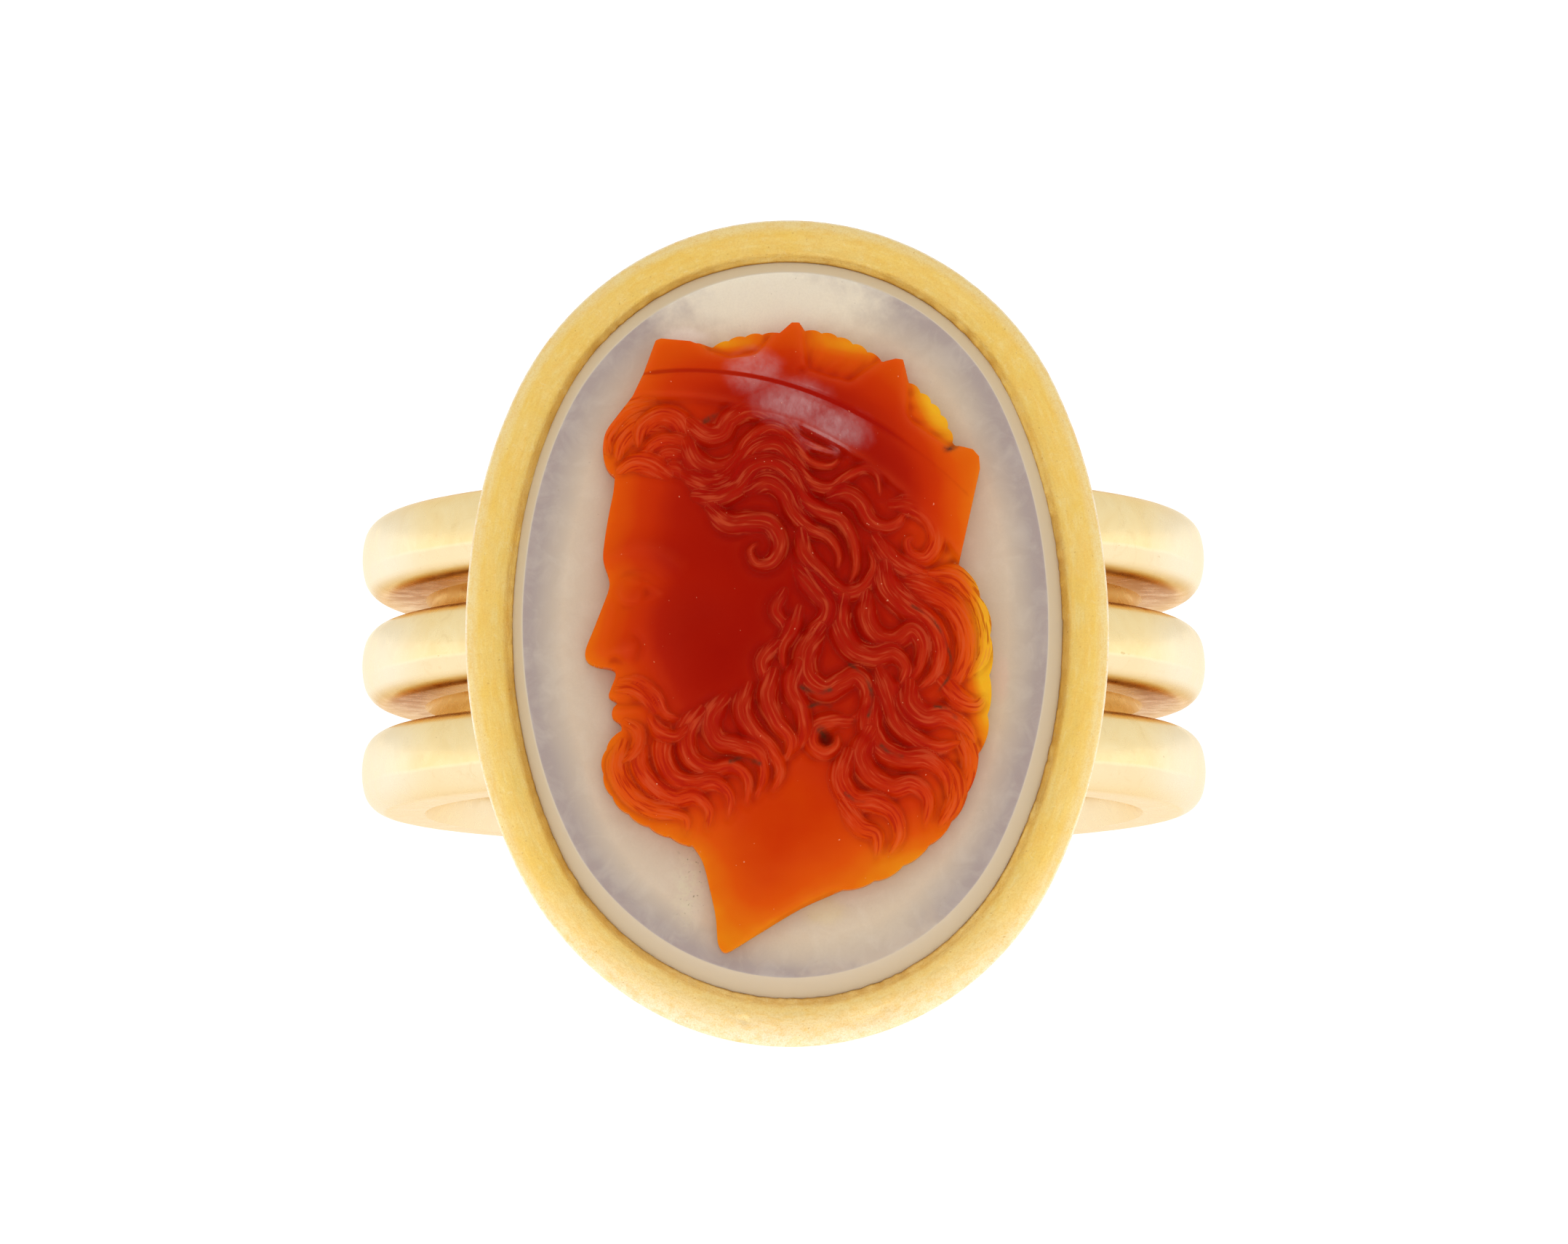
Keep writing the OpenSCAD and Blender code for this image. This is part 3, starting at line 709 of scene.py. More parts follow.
napeLocks = [
    (0.24, 0.2, (3.5, 1.35), (4.0, 1.3), (4.45, 0.85), (4.68, 0.2), (4.66, -0.5), (4.3, -1.1)),
    (0.23, 0.22, (2.7, 1.1), (3.3, 0.95), (3.9, 0.66), (4.22, 0.05), (4.22, -0.65), (3.9, -1.3), (3.6, -1.6)),
    (0.23, 0.22, (2.3, 1.5), (2.4, 1.0), (2.85, 0.55), (3.35, 0.2), (3.62, -0.35), (3.5, -1.0), (3.1, -1.4)),
    (0.2, 0.22, (1.9, 0.8), (1.85, 0.3), (2.1, -0.15), (2.55, -0.25), (2.95, 0.0), (3.2, -0.35), (3.1, -0.9),
     (2.8, -1.3)),
    (0.22, 0.24, (1.3, 0.7), (1.22, 0.15), (1.5, -0.42), (2.0, -0.64), (2.5, -0.56), (2.8, -0.9),
     (2.6, -1.4)),
    (0.18, 0.2, (0.2, 1.45), (0.55, 1.0), (0.9, 0.6), (0.85, 0.25), (0.5, -0.05), (0.34, -0.45)),
    (0.23, 0.24, (0.75, 0.0), (0.42, -0.5), (0.42, -1.08), (0.85, -1.42), (1.3, -1.22), (1.62, -1.08),
     (1.88, -1.4), (1.8, -1.86), (1.42, -2.16)),
    (0.2, 0.2, (4.1, -2.3), (4.35, -2.9), (4.3, -3.5), (3.95, -4.0)),
    (0.2, 0.2, (3.5, -3.0), (3.9, -3.45), (3.95, -4.0), (3.6, -4.6)),
    (0.22, 0.22, (2.2, -1.0), (2.42, -1.6), (2.6, -2.15), (3.05, -2.6), (3.6, -2.75), (4.1, -2.6)),
    (0.22, 0.22, (2.9, -1.3), (2.9, -1.75), (3.25, -2.05), (3.75, -2.0), (4.25, -2.25), (4.5, -2.6)),
    (0.2, 0.2, (3.7, -1.2), (4.1, -1.6), (4.5, -1.7), (4.7, -1.5)),
    (0.22, 0.22, (2.0, -1.7), (1.95, -2.3), (2.2, -2.8), (2.75, -3.05), (3.3, -3.05), (3.75, -3.4),
     (3.8, -3.9)),
    (0.2, 0.22, (1.95, -2.4), (1.7, -2.9), (1.95, -3.42), (2.45, -3.7), (2.95, -3.62), (3.35, -3.95),
     (3.25, -4.6)),
    (0.2, 0.22, (1.4, -2.9), (1.24, -3.5), (1.55, -3.98), (2.05, -4.05), (2.5, -4.3), (2.65, -4.8),
     (2.4, -5.25)),
    (0.17, 0.18, (1.3, -4.1), (1.7, -4.6), (2.1, -4.8), (2.1, -5.3)),
    (0.19, 0.24, (1.42, -2.16), (1.05, -2.18), (0.66, -2.3), (0.58, -2.66), (0.86, -2.88), (1.14, -2.72),
     (1.16, -2.45)),
]
beardLocks = [
    (0.13, 0.14, (-0.1, 0.9), (-0.3, 0.45), (-0.05, 0.05), (-0.3, -0.4)),
    (0.14, 0.14, (0.25, 0.5), (0.1, 0.0), (-0.15, -0.45), (-0.1, -0.95)),
    (0.14, 0.16, (-0.3, -0.3), (-0.62, -0.75), (-0.55, -1.25), (-0.8, -1.65)),
    (0.18, 0.2, (0.2, -0.8), (0.05, -1.35), (0.3, -1.85), (0.35, -2.4), (0.1, -2.9)),
    (0.18, 0.2, (-0.35, -1.0), (-0.5, -1.6), (-0.3, -2.15), (0.05, -2.6), (-0.1, -3.1)),
    (0.18, 0.2, (-0.95, -1.35), (-1.1, -1.9), (-0.85, -2.4), (-0.45, -2.8), (-0.2, -3.3), (-0.4, -3.8)),
    (0.18, 0.2, (-1.5, -1.6), (-1.85, -2.1), (-1.7, -2.6), (-1.2, -2.72), (-0.75, -2.9), (-0.6, -3.4),
     (-0.8, -3.95)),
    (0.18, 0.2, (-2.1, -1.9), (-2.45, -2.4), (-2.35, -3.0), (-1.85, -3.28), (-1.35, -3.2), (-0.98, -3.5),
     (-1.0, -4.1)),
    (0.18, 0.2, (-2.9, -2.3), (-3.0, -2.9), (-2.75, -3.45), (-2.25, -3.62), (-1.75, -3.58), (-1.4, -3.9),
     (-1.45, -4.4)),
    (0.18, 0.2, (-3.5, -2.5), (-3.6, -3.1), (-3.25, -3.65), (-2.75, -3.95), (-2.25, -3.9), (-1.9, -4.2),
     (-1.95, -4.65)),
    (0.18, 0.18, (-3.95, -2.6), (-4.1, -3.2), (-3.8, -3.8), (-3.3, -4.15), (-2.8, -4.25), (-2.45, -4.4),
     (-2.45, -4.75)),
    (0.13, 0.16, (-3.9, -2.1), (-3.6, -2.35), (-3.65, -2.75), (-3.95, -3.05)),
    (0.13, 0.14, (-3.3, -2.0), (-3.1, -2.35), (-2.7, -2.5), (-2.4, -2.25)),
    (0.13, 0.16, (-4.0, -1.14), (-3.6, -1.2), (-3.2, -1.5), (-2.95, -1.95), (-2.6, -2.1)),
    (0.11, 0.12, (-4.1, -1.3), (-3.75, -1.34), (-3.4, -1.6), (-3.15, -1.95)),
]


def smoothLine(points, count=8):  # a soft curve through a few points
    p = np.array([points[0], *points, points[-1]], float)
    t = np.linspace(0, 1, count, endpoint=False)[:, None]
    runs = []
    for a, b, c, d in zip(p, p[1:], p[2:], p[3:]):
        square, cube = 2 * a - 5 * b + 4 * c - d, 3 * b - a - 3 * c + d
        runs.append(0.5 * (2 * b + (c - a) * t + square * t**2 + cube * t**3))
    return np.vstack([*runs, p[-1:]])


def scallops(points, count, depth):  # little bulges of hair along a stretch of the outline
    line = smoothLine(points)
    along = np.concatenate([[0], np.cumsum(np.hypot(*np.diff(line, axis=0).T))])
    s = np.linspace(0, along[-1], count * 8 + 1)
    x, y = np.interp(s, along, line[:, 0]), np.interp(s, along, line[:, 1])
    dx, dy = np.gradient(x), np.gradient(y)
    out = depth * np.abs(np.sin(math.pi * count * s / along[-1])) ** 0.7 / np.hypot(dx, dy)
    return np.column_stack([x + dy * out, y - dx * out])


def headOutline():  # anticlockwise, from the crown's front point down the face and neck and up the hair
    crownFront = [(-2.35, 7.03), (-3.05, 7.1), (-3.18, 7.05), (-3.47, 6.27), (-3.72, 5.73)]
    fringe = smoothLine([(-3.72, 5.73), (-4.1, 5.25), (-4.38, 4.85), (-4.45, 4.4), (-4.36, 4.0),
                         (-4.16, 3.78)])
    face = smoothLine([(-4.16, 3.78), (-4.2, 3.4), (-4.3, 2.9), (-4.4, 2.3), (-4.44, 1.8), (-4.32, 1.4),
                       (-4.3, 1.1), (-4.48, 0.6), (-4.68, 0.1), (-4.86, -0.35), (-4.84, -0.6), (-4.6, -0.74),
                       (-4.22, -0.82), (-4.14, -0.98), (-4.26, -1.3), (-4.3, -1.48), (-4.1, -1.62),
                       (-4.2, -1.76), (-4.22, -1.96), (-4.02, -2.14), (-4.0, -2.3)])
    beard = scallops([(-4.0, -2.3), (-4.34, -2.7), (-4.44, -3.2), (-4.3, -3.7), (-3.95, -4.15), (-3.45, -4.5),
                      (-2.84, -4.8), (-2.3, -5.02)], 7, 0.05)
    neck = smoothLine([(-2.3, -5.02), (-2.06, -5.4), (-1.9, -6.0), (-1.75, -6.7), (-1.7, -7.3),
                       (-1.6, -7.52)])
    cut = smoothLine([(-1.6, -7.52), (-1.42, -7.53), (-0.74, -7.12), (0.31, -6.5), (1.3, -6.07)])
    nape = scallops([(1.3, -6.07), (2.3, -5.75), (3.2, -5.15), (3.9, -4.45), (4.3, -3.75)], 5, 0.06)
    back = scallops([(4.3, -3.75), (4.5, -3.0), (4.74, -2.2), (4.8, -1.3), (4.84, -0.5), (4.8, 0.3),
                     (4.5, 1.1), (4.1, 1.65)], 6, 0.08)
    crownRear = [(4.12, 1.75), (4.36, 2.8), (4.62, 3.95), (4.6, 4.25), (4.45, 4.42), (4.02, 4.52)]
    hairRear = scallops([(3.96, 4.6), (3.75, 5.15), (3.4, 5.6), (2.92, 6.02)], 5, 0.07)
    crownThird = [(2.84, 6.35), (2.78, 6.58), (2.6, 6.6), (2.25, 6.5)]
    hairMiddle = scallops([(2.25, 6.55), (1.75, 6.88), (1.1, 7.16), (0.42, 7.28)], 5, 0.06)
    crownMiddle = [(0.36, 7.36), (0.28, 7.47), (0.1, 7.47), (-0.14, 7.25)]
    hairFront = scallops([(-0.2, 7.2), (-0.8, 7.18), (-1.4, 7.05), (-1.85, 6.88), (-2.2, 6.97)], 5, 0.05)
    line = np.vstack([crownFront, fringe, face, beard, neck, cut, nape, back, crownRear, hairRear, crownThird,
                      hairMiddle, crownMiddle, hairFront])
    return line[np.hypot(*(line - np.roll(line, 1, axis=0)).T) > 0.01]


def windowOn(x, y, points, reach):  # the part of the grid within reach of some points
    low, high = np.min(points, axis=0) - reach, np.max(points, axis=0) + reach
    return np.ix_((y[:, 0] > low[1]) & (y[:, 0] < high[1]), (x[0] > low[0]) & (x[0] < high[0]))


def intoShape(x, y, line, reach):  # distance to a closed line, up to reach, and positive inside
    near = np.full(x.shape, reach**2)
    inside = np.zeros(x.shape, bool)
    for (ax, ay), (bx, by) in zip(line, np.roll(line, -1, axis=0)):
        ex, ey = bx - ax, by - ay
        part = windowOn(x, y, ((ax, ay), (bx, by)), reach)
        px, py = x[part] - ax, y[part] - ay
        t = np.clip((px * ex + py * ey) / (ex * ex + ey * ey), 0, 1)
        near[part] = np.minimum(near[part], (px - t * ex) ** 2 + (py - t * ey) ** 2)
        rows = (ay > y[:, 0]) != (by > y[:, 0])
        if rows.any():
            inside[rows] ^= x[rows] < ex * (y[rows] - ay) / ey + ax
    return np.where(inside, 1, -1) * np.sqrt(near)


def insideOf(x, y, points):  # 1 inside a shape and 0 outside, with a soft edge
    return soft(intoShape(x, y, np.array(points, float), 0.2), -0.03, 0.05)


def snapTo(places, line):  # moves places to the nearest ones on a closed line
    near = np.full(len(places), 99.0)
    snapped = places.copy()
    for a, b in zip(line, np.roll(line, -1, axis=0)):
        t = np.clip((places - a) @ (b - a) / ((b - a) @ (b - a)), 0, 1)[:, None]
        on = a + t * (b - a)
        apart = ((places - on) ** 2).sum(axis=1)
        closer = apart < near
        near[closer], snapped[closer] = apart[closer], on[closer]
    return snapped


def soften(field, reach):  # three box blurs make a soft round one
    cells = max(1, round(reach / head["pitch"]))
    for _ in range(3):
        for axis in (0, 1):
            pad = [(cells + 1, cells) if a == axis else (0, 0) for a in (0, 1)]
            run = np.cumsum(np.pad(field, pad, mode="edge"), axis=axis)
            n = field.shape[axis]
            ahead = np.take(run, range(2 * cells + 1, n + 2 * cells + 1), axis=axis)
            field = (ahead - np.take(run, range(n), axis=axis)) / (2 * cells + 1)
    return field


def swell(x, y, cx, cy, rx, ry, turn, high):  # rounded dome
    c, s = math.cos(math.radians(turn)), math.sin(math.radians(turn))
    u, v = (x - cx) * c + (y - cy) * s, (y - cy) * c - (x - cx) * s
    return high * np.sqrt(np.clip(1 - (u / rx) ** 2 - (v / ry) ** 2, 0, 1))


def mound(x, y, cx, cy, rx, ry, high):  # soft rise with no edge
    return high * np.exp(-(((x - cx) / rx) ** 2) - ((y - cy) / ry) ** 2)


def alongLine(x, y, points, count=14):  # distance to a curve, the side of it, and how far along it is
    line = smoothLine(points, count)
    s = np.concatenate([[0], np.cumsum(np.hypot(*np.diff(line, axis=0).T))])
    best, at, side = np.full(x.shape, 99.0), np.zeros(x.shape), np.zeros(x.shape)
    for i in range(len(line) - 1):
        ex, ey = line[i + 1] - line[i]
        size = math.hypot(ex, ey) + 1e-9
        t = np.clip(((x - line[i, 0]) * ex + (y - line[i, 1]) * ey) / size**2, 0, 1)
        px, py = x - line[i, 0] - t * ex, y - line[i, 1] - t * ey
        apart = px * px + py * py
        closer = apart < best
        best = np.where(closer, apart, best)
        at = np.where(closer, s[i] + t * size, at)
        side = np.where(closer, (py * ex - px * ey) / size, side)
    return np.sqrt(best), side, at, s[-1]


def ridge(form, x, y, points, wide, high):  # a soft ridge along a curve, or a groove where high is negative
    part = windowOn(x, y, points, wide * 3)
    best, side, at, length = alongLine(x[part], y[part], points, 6)
    form[part] += high * np.exp(-((best / wide) ** 2)) * np.sin(math.pi * (0.05 + 0.9 * at / length)) ** 0.5


def layLock(form, body, calm, strand, x, y, lock):  # carves one lock, and the groove beside it
    h = head
    half, rise, points = lock[0] * h["lockWide"], lock[1] * h["lockRise"], lock[2:]
    part = windowOn(x, y, points, half + 0.35)
    best, side, at, length = alongLine(x[part], y[part], points)
    share = np.clip(at / length, 0, 1)
    width = half * np.minimum(1, 0.45 + 1.4 * at) * (1 - share**2.6) ** 0.75 + 0.02
    across = best / width
    comb = h["combDeep"] * np.cos(2 * math.pi * h["combLines"] * side / width + 0.8 * np.sin(3 * at))
    root = soft(at, -0.1, 0.4)
    tip = np.minimum(1, width / half) ** 0.5
    lift = (rise * np.clip(1 - across**2, 0, 1) ** 0.75 + comb * np.clip(1.3 - across, 0, 1)) * tip * root
    old, free = form[part], 1 - calm[part]
    beside = h["besideDeep"] * np.exp(-(((best - width) / 0.1) ** 2)) * root * (0.35 + 0.65 * free)
    lines = comb * np.exp(-(((best - width) / 0.22) ** 2)) * root * free
    onLock = np.maximum(old - h["besideDeep"] * root, body[part] + lift)
    form[part] = np.where(across < 1, onLock, old - beside + lines)
    run = (side * 15 + lock[0] * 90, at * 1.5, at * 0 + lock[2][0] * 3, at * 0 + 1)
    for field, value in zip(strand, run):
        field[part] = np.where(across < 1.15, value, field[part])


def makeFace(form, x, y):  # calm, on textbook thirds, of the maker's own design
    form -= mound(x, y, -3.62, 1.12, 0.55, 0.36, 0.2)
    form += swell(x, y, -3.78, 0.98, 0.36, 0.3, 0, 0.22)
    form += mound(x, y, -3.92, -0.42, 0.26, 0.22, 0.2) + mound(x, y, -4.45, -0.42, 0.34, 0.26, 0.1)
    form += mound(x, y, -4.0, -1.46, 0.3, 0.1, 0.08) + mound(x, y, -4.0, -1.86, 0.3, 0.12, 0.1)
    form += mound(x, y, -2.5, 0.1, 1.1, 0.9, 0.1)
    for points, wide, high in (
        ([(-4.5, 1.7), (-3.9, 1.96), (-3.2, 1.94), (-2.6, 1.6)], 0.26, 0.15),  # brow
        ([(-4.1, 1.16), (-3.86, 1.3), (-3.5, 1.2), (-3.06, 0.9)], 0.06, 0.12),  # lids and the fold over them
        ([(-4.04, 0.76), (-3.74, 0.7), (-3.4, 0.76), (-3.06, 0.9)], 0.055, 0.07),
        ([(-3.98, 1.42), (-3.6, 1.52), (-3.2, 1.4), (-2.9, 1.12)], 0.07, -0.06),
        ([(-4.15, 1.3), (-4.22, 0.8), (-4.35, 0.2), (-4.5, -0.2)], 0.22, 0.12),  # nose
        ([(-3.78, 0.0), (-3.54, -0.3), (-3.64, -0.72)], 0.08, -0.1),
        ([(-4.3, -0.68), (-4.14, -0.6), (-3.98, -0.7)], 0.08, -0.14),
        ([(-4.3, -1.64), (-3.8, -1.69), (-3.4, -1.62)], 0.055, -0.08),  # between the lips
        ([(-3.5, -0.7), (-3.25, -1.0), (-3.1, -1.4)], 0.14, -0.05),
    ):
        ridge(form, x, y, points, wide, high)


def carveHead(x, y):  # height of the carving over the ground, and what its material reads
    h = head
    line = headOutline()
    inside = intoShape(x, y, line, 1.8)
    body = np.full(x.shape, 0.42)
    for mass in h["masses"]:
        body = np.maximum(body, swell(x, y, *mass))
    roll = soften(soft(inside, -0.3, h["rollWide"]), h["softBody"])
    body = h["edgeHigh"] + (soften(body, h["softBody"]) - h["edgeHigh"]) * (0.2 + 0.8 * roll)
    form = body.copy()

    faceSkin = smoothLine([(-4.9, 3.6), (-3.3, 3.7), (-2.4, 3.0), (-1.6, 2.2), (-1.1, 1.2), (-0.9, 0.3),
                           (-1.1, -0.7), (-1.9, -1.5), (-2.9, -1.3), (-5.2, -1.0)])
    neckSkin = smoothLine([(-2.3, -5.0), (-1.3, -4.8), (-0.3, -4.2), (0.35, -3.2), (1.05, -3.1), (1.2, -4.2),
                           (1.9, -5.4), (1.3, -6.3), (-1.6, -8.0)])
    calm = np.maximum(insideOf(x, y, faceSkin), insideOf(x, y, neckSkin))
    strand = [np.zeros(x.shape) for _ in range(4)]
    for lock in fringeLocks + sideLocks + napeLocks + beardLocks:
        layLock(form, body, calm, strand, x, y, lock)
    ex, ey, deep = h["curlEye"]
    form -= deep * soft(-np.hypot(x - ex, y - ey), -0.22, -0.12)  # drilled
    makeFace(form, x, y)

    # crown's band and points lie over the hair, with a line cut along the band
    cx, cy = h["bandCentre"]
    away = np.hypot(x - cx, y - cy)
    lowEdge = h["bandRadius"] - h["bandLean"] * (x + 3.7)
    points = insideOf(x, y, [(-4.6, 4.8), (-3.5, 6.2), (-3.2, 7.3), (-2.2, 7.2), (-1.95, 6.8), (-1.4, 6.62),
                             (-0.75, 6.72), (0.0, 7.6), (0.35, 7.6), (0.44, 6.5), (0.5, 6.28), (0.95, 6.12),
                             (1.5, 6.0), (2.5, 6.8), (2.86, 6.7), (2.88, 5.2), (3.0, 5.05), (3.95, 4.45),
                             (4.4, 4.7), (4.8, 4.4), (4.2, 1.5), (3.3, 1.9), (-0.5, 3.5)])
    crown = soft(away - lowEdge, -0.1, 0.12) * points
    form = form * (1 - crown) + (body + h["bandRise"]) * crown
    lineAt = 10.3 - 0.3 * soft(x, -3, 4)
    cutLine = np.exp(-(((away - lineAt) / 0.055) ** 2)) * crown * (1 - 0.7 * soft(x, 2.2, 3.4))
    form -= h["lineDeep"] * cutLine
    px, py, deep = h["crownPit"]
    form -= deep * np.exp(-((np.hypot(x - px, y - py) / 0.09) ** 2))
    strand[3] = strand[3] * (1 - crown)
    strands = (1 - points) * soft(away - lowEdge, 0.0, 0.3)
    around = np.arctan2(y - 4.2, x - 0.6)
    form += strands * h["strandRise"] * np.sin(around * 52 + 3 * np.sin(around * 7) + 2.2 * np.sin(away * 4))

    # light bevel along the cut of the neck
    fromCut = alongLine(x, y, [(-1.7, -7.62), (-1.3, -7.55), (-0.74, -7.14), (0.31, -6.52), (1.6, -5.95)])[0]
    low, steep = h["cutRise"]
    form = np.minimum(form, low + fromCut * steep + 0.4 * soft(x, 0.9, 2.2))
    form = soften(form, 0.03)
    thick = soften(form, 0.12)
    for place in h["thinner"]:
        thick = thick + mound(x, y, *place)
    looks = dict(thick=thick, crest=form - soften(form, 0.1) - 0.1 * cutLine, dirt=gatherDirt(x, y),
                 hair=soften(strand[3], 0.03), strand=np.dstack(strand[:3]))
    return form, inside, line, looks


# Places where dirt has settled, each a width and the places that it runs through
dirtLines = [
    (0.035, (2.96, 0.58), (3.5, 0.2), (3.84, -0.47), (3.87, -1.0), (3.57, -1.44)),
    (0.04, (1.47, -0.82), (1.8, -1.1), (2.0, -1.6), (1.9, -2.05)),
    (0.05, (0.3, -1.35), (0.68, -1.5), (1.0, -1.42)),
    (0.05, (0.5, -1.8), (0.77, -1.72), (1.0, -1.8)),
    (0.05, (-1.4, -3.1), (-1.05, -3.0), (-0.7, -3.15)),
    (0.035, (1.35, -3.85), (1.57, -4.02), (1.8, -4.05)),
    (0.05, (2.2, -2.75), (2.4, -2.9), (2.7, -3.0)),
    (0.05, (3.5, -1.8), (3.8, -1.85), (4.0, -2.05)),
    (0.06, (-2.0, 5.0), (-1.85, 5.1), (-1.7, 5.16)),
    (0.07, (3.8, 4.4), (3.9, 4.42), (4.05, 4.5)),
    (0.1, (0.76, -2.36), (0.88, -2.52), (0.96, -2.66)),
]


def gatherDirt(x, y):
    dirt = np.zeros(x.shape)
    for wide, *points in dirtLines:
        part = windowOn(x, y, points, wide * 4)
        best, side, at, length = alongLine(x[part], y[part], points, 8)
        dirt[part] = np.maximum(dirt[part], np.exp(-((best / wide) ** 2)) * (0.6 + 0.4 * np.sin(9 * at + 1)))
    return dirt


def makeRelief():
    h = head
    nx, ny = round(h["wide"] / h["pitch"]), round(h["tall"] / h["pitch"])
    startFresh()
    bpy.ops.mesh.primitive_grid_add(x_subdivisions=nx, y_subdivisions=ny, size=1, location=(0, 0, 0))
    relief = bpy.context.object
    relief.name = relief.data.name = "stoneRelief"
    places = readPlaces(relief)
    column = np.rint((places[:, 0] + 0.5) * nx).astype(int)
    row = np.rint((places[:, 1] + 0.5) * ny).astype(int)
    x, y = np.meshgrid((np.arange(nx + 1) / nx - 0.5) * h["wide"], (np.arange(ny + 1) / ny - 0.5) * h["tall"])
    form, inside, line, looks = carveHead(x, y)
    heights = form[inside > 0]
    print("head carved, heights", round(float(heights.min()), 3), round(float(heights.max()), 3))
    high = ring["headFoot"] + np.clip(form, h["lowest"], h["highest"])
    x, y = x * h["size"][0] + h["shift"][0], y * h["size"][1] + h["shift"][1]
    line = line * h["size"] + h["shift"]
    writePlaces(relief, np.column_stack([x[row, column], y[row, column], high[row, column]]))
    for name, values in looks.items():
        keepValue(relief, name, values[row, column])

    # what lies outside the outline is cut away
    keep = (inside[:-1, :-1] + inside[1:, :-1] + inside[:-1, 1:] + inside[1:, 1:]) > 0
    for _ in range(3):  # no two cells meet at a corner only
        a, b, c, d = keep[:-1, :-1], keep[1:, 1:], keep[:-1, 1:], keep[1:, :-1]
        one, other = a & b & ~c & ~d, c & d & ~a & ~b
        keep[1:, :-1] |= one
        keep[1:, 1:] |= other
    corners = np.empty(len(relief.data.loops), int)
    relief.data.loops.foreach_get("vertex_index", corners)
    corners = corners.reshape(-1, 4)
    cellRow, cellColumn = row[corners].min(axis=1), column[corners].min(axis=1)
    outside = ~keep[cellRow, cellColumn]
    goTo("EDIT")
    bpy.ops.mesh.select_mode(type="FACE")
    bpy.ops.mesh.select_all(action="DESELECT")
    goTo("OBJECT")
    relief.data.polygons.foreach_set("select", outside)
    goTo("EDIT")
    bpy.ops.mesh.delete(type="FACE")

    # its edge is drawn onto the outline, and a wall goes down to the ground
    bpy.ops.mesh.select_mode(type="EDGE")
    bpy.ops.mesh.select_all(action="DESELECT")
    bpy.ops.mesh.select_non_manifold()
    goTo("OBJECT")
    places = readPlaces(relief)
    atEdge = np.empty(len(places), bool)
    relief.data.vertices.foreach_get("select", atEdge)
    places[atEdge, :2] = snapTo(places[atEdge, :2], line)
    writePlaces(relief, places)
    goTo("EDIT")
    bpy.ops.mesh.extrude_region_move()
    bpy.ops.transform.resize(value=(1, 1, 0), center_override=(0, 0, ring["headFoot"]))
    bpy.ops.mesh.edge_face_add()
    sealAndSmooth(relief, 62)
    return relief


redLook = dict(
    depths=[(0.0, (0.80, 0.40, 0.015)), (0.06, (0.73, 0.24, 0.006)), (0.12, (0.69, 0.13, 0.003)),
            (0.2, (0.65, 0.075, 0.0015)), (0.38, (0.54, 0.032, 0.0006)), (0.53, (0.48, 0.02, 0.0005)),
            (0.68, (0.37, 0.008, 0.0005)), (0.88, (0.29, 0.003, 0.0005))],
    glossAt=[((-0.8, 6.0, 15.3), (0.85, 0.75, 9)), ((0.1, 5.2, 15.5), (1.2, 0.75, 9)),
             ((1.1, 4.5, 15.5), (1.1, 0.7, 9))],
    # the crest tone is a painted highlight on the ridges and the hollow tone painted shade in the grooves
    crest=(0.60, 0.075, 0.018), hollowShade=(0.33, 0.003, 0.001), strandHighlight=(0.64, 0.11, 0.035),
    strandShade=(0.36, 0.004, 0.001), dirt=(0.11, 0.028, 0.012),
    specks=[((10.0, 1.0, 0.4), (0.79, 0.82), 0.6, (0.78, 0.36, 0.2))])


def redStone():
    look = redLook
    material, tree, shader = newMaterial("carved carnelian", Roughness=0.3, Coat_Roughness=0.2, Coat_IOR=2.2,
                                         Subsurface_Weight=0.25, Subsurface_Radius=(1.0, 0.22, 0.05),
                                         Subsurface_Scale=0.0005, Specular_IOR_Level=0.01)
    places = ringPlaces(tree)
    crest = stored(tree, "crest")
    gloss = 0.0  # the polished stretch of the crown
    for middle, size in look["glossAt"]:
        gloss = sums(tree, "MAXIMUM", gloss, spot(tree, places, middle, size, 0.12, 2.5))
    rubbed = noise(tree, ringPlaces(tree, (0.9, 0.5, 0.9)), 6.0, 5.0, 0.75)
    gloss = times(tree, gloss, ramp(tree, rubbed, [(0.35, 0.45), (0.6, 1.0)]))
    gloss = times(tree, gloss, mapRange(tree, crest, -0.06, -0.02))
    tree.links.new(sums(tree, "MULTIPLY_ADD", gloss, 0.99, 0.01), shader.inputs["Coat Weight"])
    depth = wander(tree, stored(tree, "thick"), places, 0.55, 3.0, 0.3)
    colour = ramp(tree, mapRange(tree, depth, 0.3, 2.0), look["depths"])
    # painted highlight on the ridges and painted shade in the grooves
    colour = tint(tree, colour, mapRange(tree, crest, 0.0, 0.07), 0.25, look["crest"])
    colour = tint(tree, colour, mapRange(tree, crest, -0.02, -0.1), 0.6, look["hollowShade"])

    # fine strands on the locks, with painted highlight and shade, then dirt and pale specks
    hair = stored(tree, "hair")
    strands = noise(tree, stored(tree, "strand", "Vector"), 1.0, 2.0, 0.5)
    # painted highlight on the fine strands' ridges and painted shade in their grooves
    colour = tint(tree, colour, hair, ramp(tree, strands, [(0.52, 0.0), (0.66, 0.32)]), look["strandHighlight"])
    colour = tint(tree, colour, hair, ramp(tree, strands, [(0.36, 0.6), (0.47, 0.0)]), look["strandShade"])
    patchyDirtAndShade = ramp(tree, noise(tree, places, 9.0, 4.0, 0.7), [(0.35, 0.4), (0.55, 1.0)])
    colour = tint(tree, colour, stored(tree, "dirt"), patchyDirtAndShade, look["dirt"])
    colour = layFlecks(tree, colour, places, look["specks"])
    tree.links.new(colour, shader.inputs["Base Color"])
    combed = bumpFrom(tree, shader, times(tree, strands, hair), 0.00004, 0.5)
    bumpFrom(tree, shader, noise(tree, places, 7.0, 4.0, 0.6), 0.000012, 0.3, combed)
    return material


# Floor, light and camera

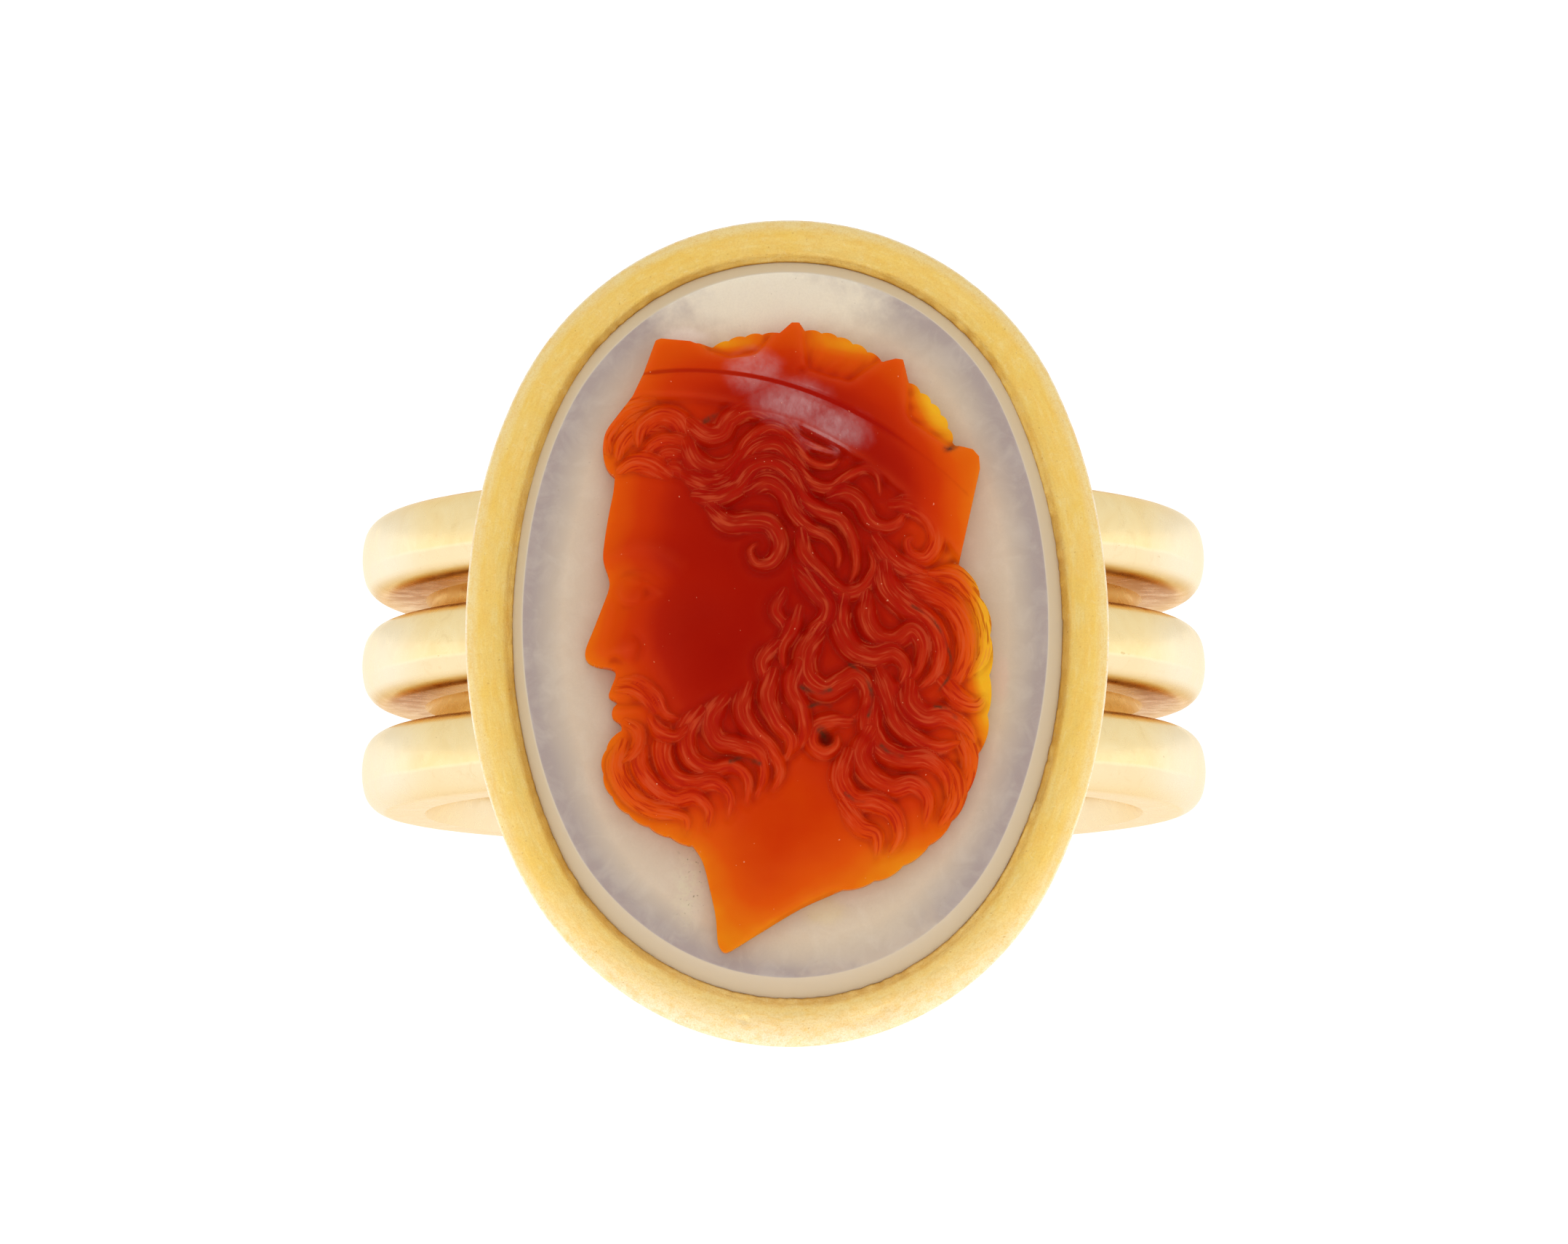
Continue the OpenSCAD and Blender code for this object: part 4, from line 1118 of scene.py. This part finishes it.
# Each panel has its azimuth, elevation, distance, size, power and whether it is mirrored
studio = dict(floorSize=6.0, floorPale=0.4, floorGlow=0.85, worldLevel=0.98, overhead=0.85, frontLevel=0.6,
              frontWide=(6, 30), panels=dict(key=(12, 66, 0.6, (0.35, 0.25), 0.45, False),
                                             gloss=(8, 48, 0.6, (0.2, 0.14), 0.06, True)))
view = dict(elevation=10.26, azimuth=-0.4, distance=188.0, lens=181.0, aim=(-0.08, 0.19))


def layFloor():
    startFresh()
    bpy.ops.mesh.primitive_plane_add(size=studio["floorSize"], location=(0, 0, 0))
    floor = bpy.context.object
    floor.name = "floor"
    grey = studio["floorPale"]
    floor.data.materials.append(newMaterial("pale floor", Base_Color=(grey, grey, grey, 1), Roughness=0.9,
                                            Emission_Color=(1, 1, 1, 1), Specular_IOR_Level=0.0,
                                            Emission_Strength=studio["floorGlow"])[0])


def towards(azimuth, elevation):  # from the ring, as the camera's angles go
    az, el = math.radians(azimuth), math.radians(elevation)
    return Vector((math.sin(az) * math.cos(el), -math.cos(az) * math.cos(el), math.sin(el)))


def addPanel(name, azimuth, elevation, distance, size, power, mirrored):  # soft panel facing the ring
    light = bpy.data.lights.new(name, "AREA")
    light.shape = "RECTANGLE"
    light.size, light.size_y = size
    light.energy = power
    lamp = bpy.data.objects.new(name, light)
    lamp.visible_glossy = mirrored
    bpy.context.scene.collection.objects.link(lamp)
    way = towards(azimuth, elevation)
    lamp.location = fingerMiddle + way * distance
    lamp.rotation_euler = way.to_track_quat("Z", "Y").to_euler()


def lightStudio():
    world = bpy.data.worlds.new("studio")
    bpy.context.scene.world = world
    world.use_nodes = True
    tree = world.node_tree
    way = addNode(tree, "TexCoord").node.outputs["Generated"]
    toFront = addNode(tree, "VectorMath", {0: way, 1: towards(view["azimuth"], view["elevation"])},
                      operation="DOT_PRODUCT").node.outputs["Value"]
    near, far = (math.cos(math.radians(wide)) for wide in studio["frontWide"])
    level = mapRange(tree, toFront, far, near, studio["worldLevel"], studio["frontLevel"], "SMOOTHSTEP")
    height = addNode(tree, "SeparateXYZ", {"Vector": way}).node.outputs["Z"]
    overhead = mapRange(tree, height, 0.1, 0.9, 1.0, studio["overhead"])
    background = tree.nodes["Background"]
    tree.links.new(times(tree, level, overhead), background.inputs["Strength"])
    background.inputs["Color"].default_value = (1, 1, 1, 1)
    for name, panel in studio["panels"].items():
        addPanel(name, *panel)
    bpy.context.scene.view_settings.view_transform = "Standard"


def placeCamera():
    camera = bpy.data.objects.new("camera", bpy.data.cameras.new("camera"))
    bpy.context.scene.collection.objects.link(camera)
    way = towards(view["azimuth"], view["elevation"])
    camera.location = onRing(*view["aim"], ring["rimTop"]) + way * view["distance"] * 0.001
    camera.rotation_euler = way.to_track_quat("Z", "Y").to_euler()
    camera.data.lens = view["lens"]
    camera.data.sensor_width = 36
    camera.data.clip_start = 0.005
    bpy.context.scene.camera = camera


hoops = makeHoops()
layDown(hoops, fingerMiddle)
wearFlat(hoops)
ride(hoops, "gold_mount", hoopGold())

bezel = makeBezel()
tellRim(bezel)
settle(bezel)
layDown(bezel, bezelMiddle)
ride(bezel, "gold_mount", rimGold())

ground = makeGround()
settle(ground)
layDown(ground, bezelMiddle)
ride(ground, "stone_ground", paleStone())

relief = makeRelief()
layDown(relief, bezelMiddle)
ride(relief, "stone_relief", redStone())

layFloor()
lightStudio()
placeCamera()
print("stage set")

bpy.context.view_layer.update()
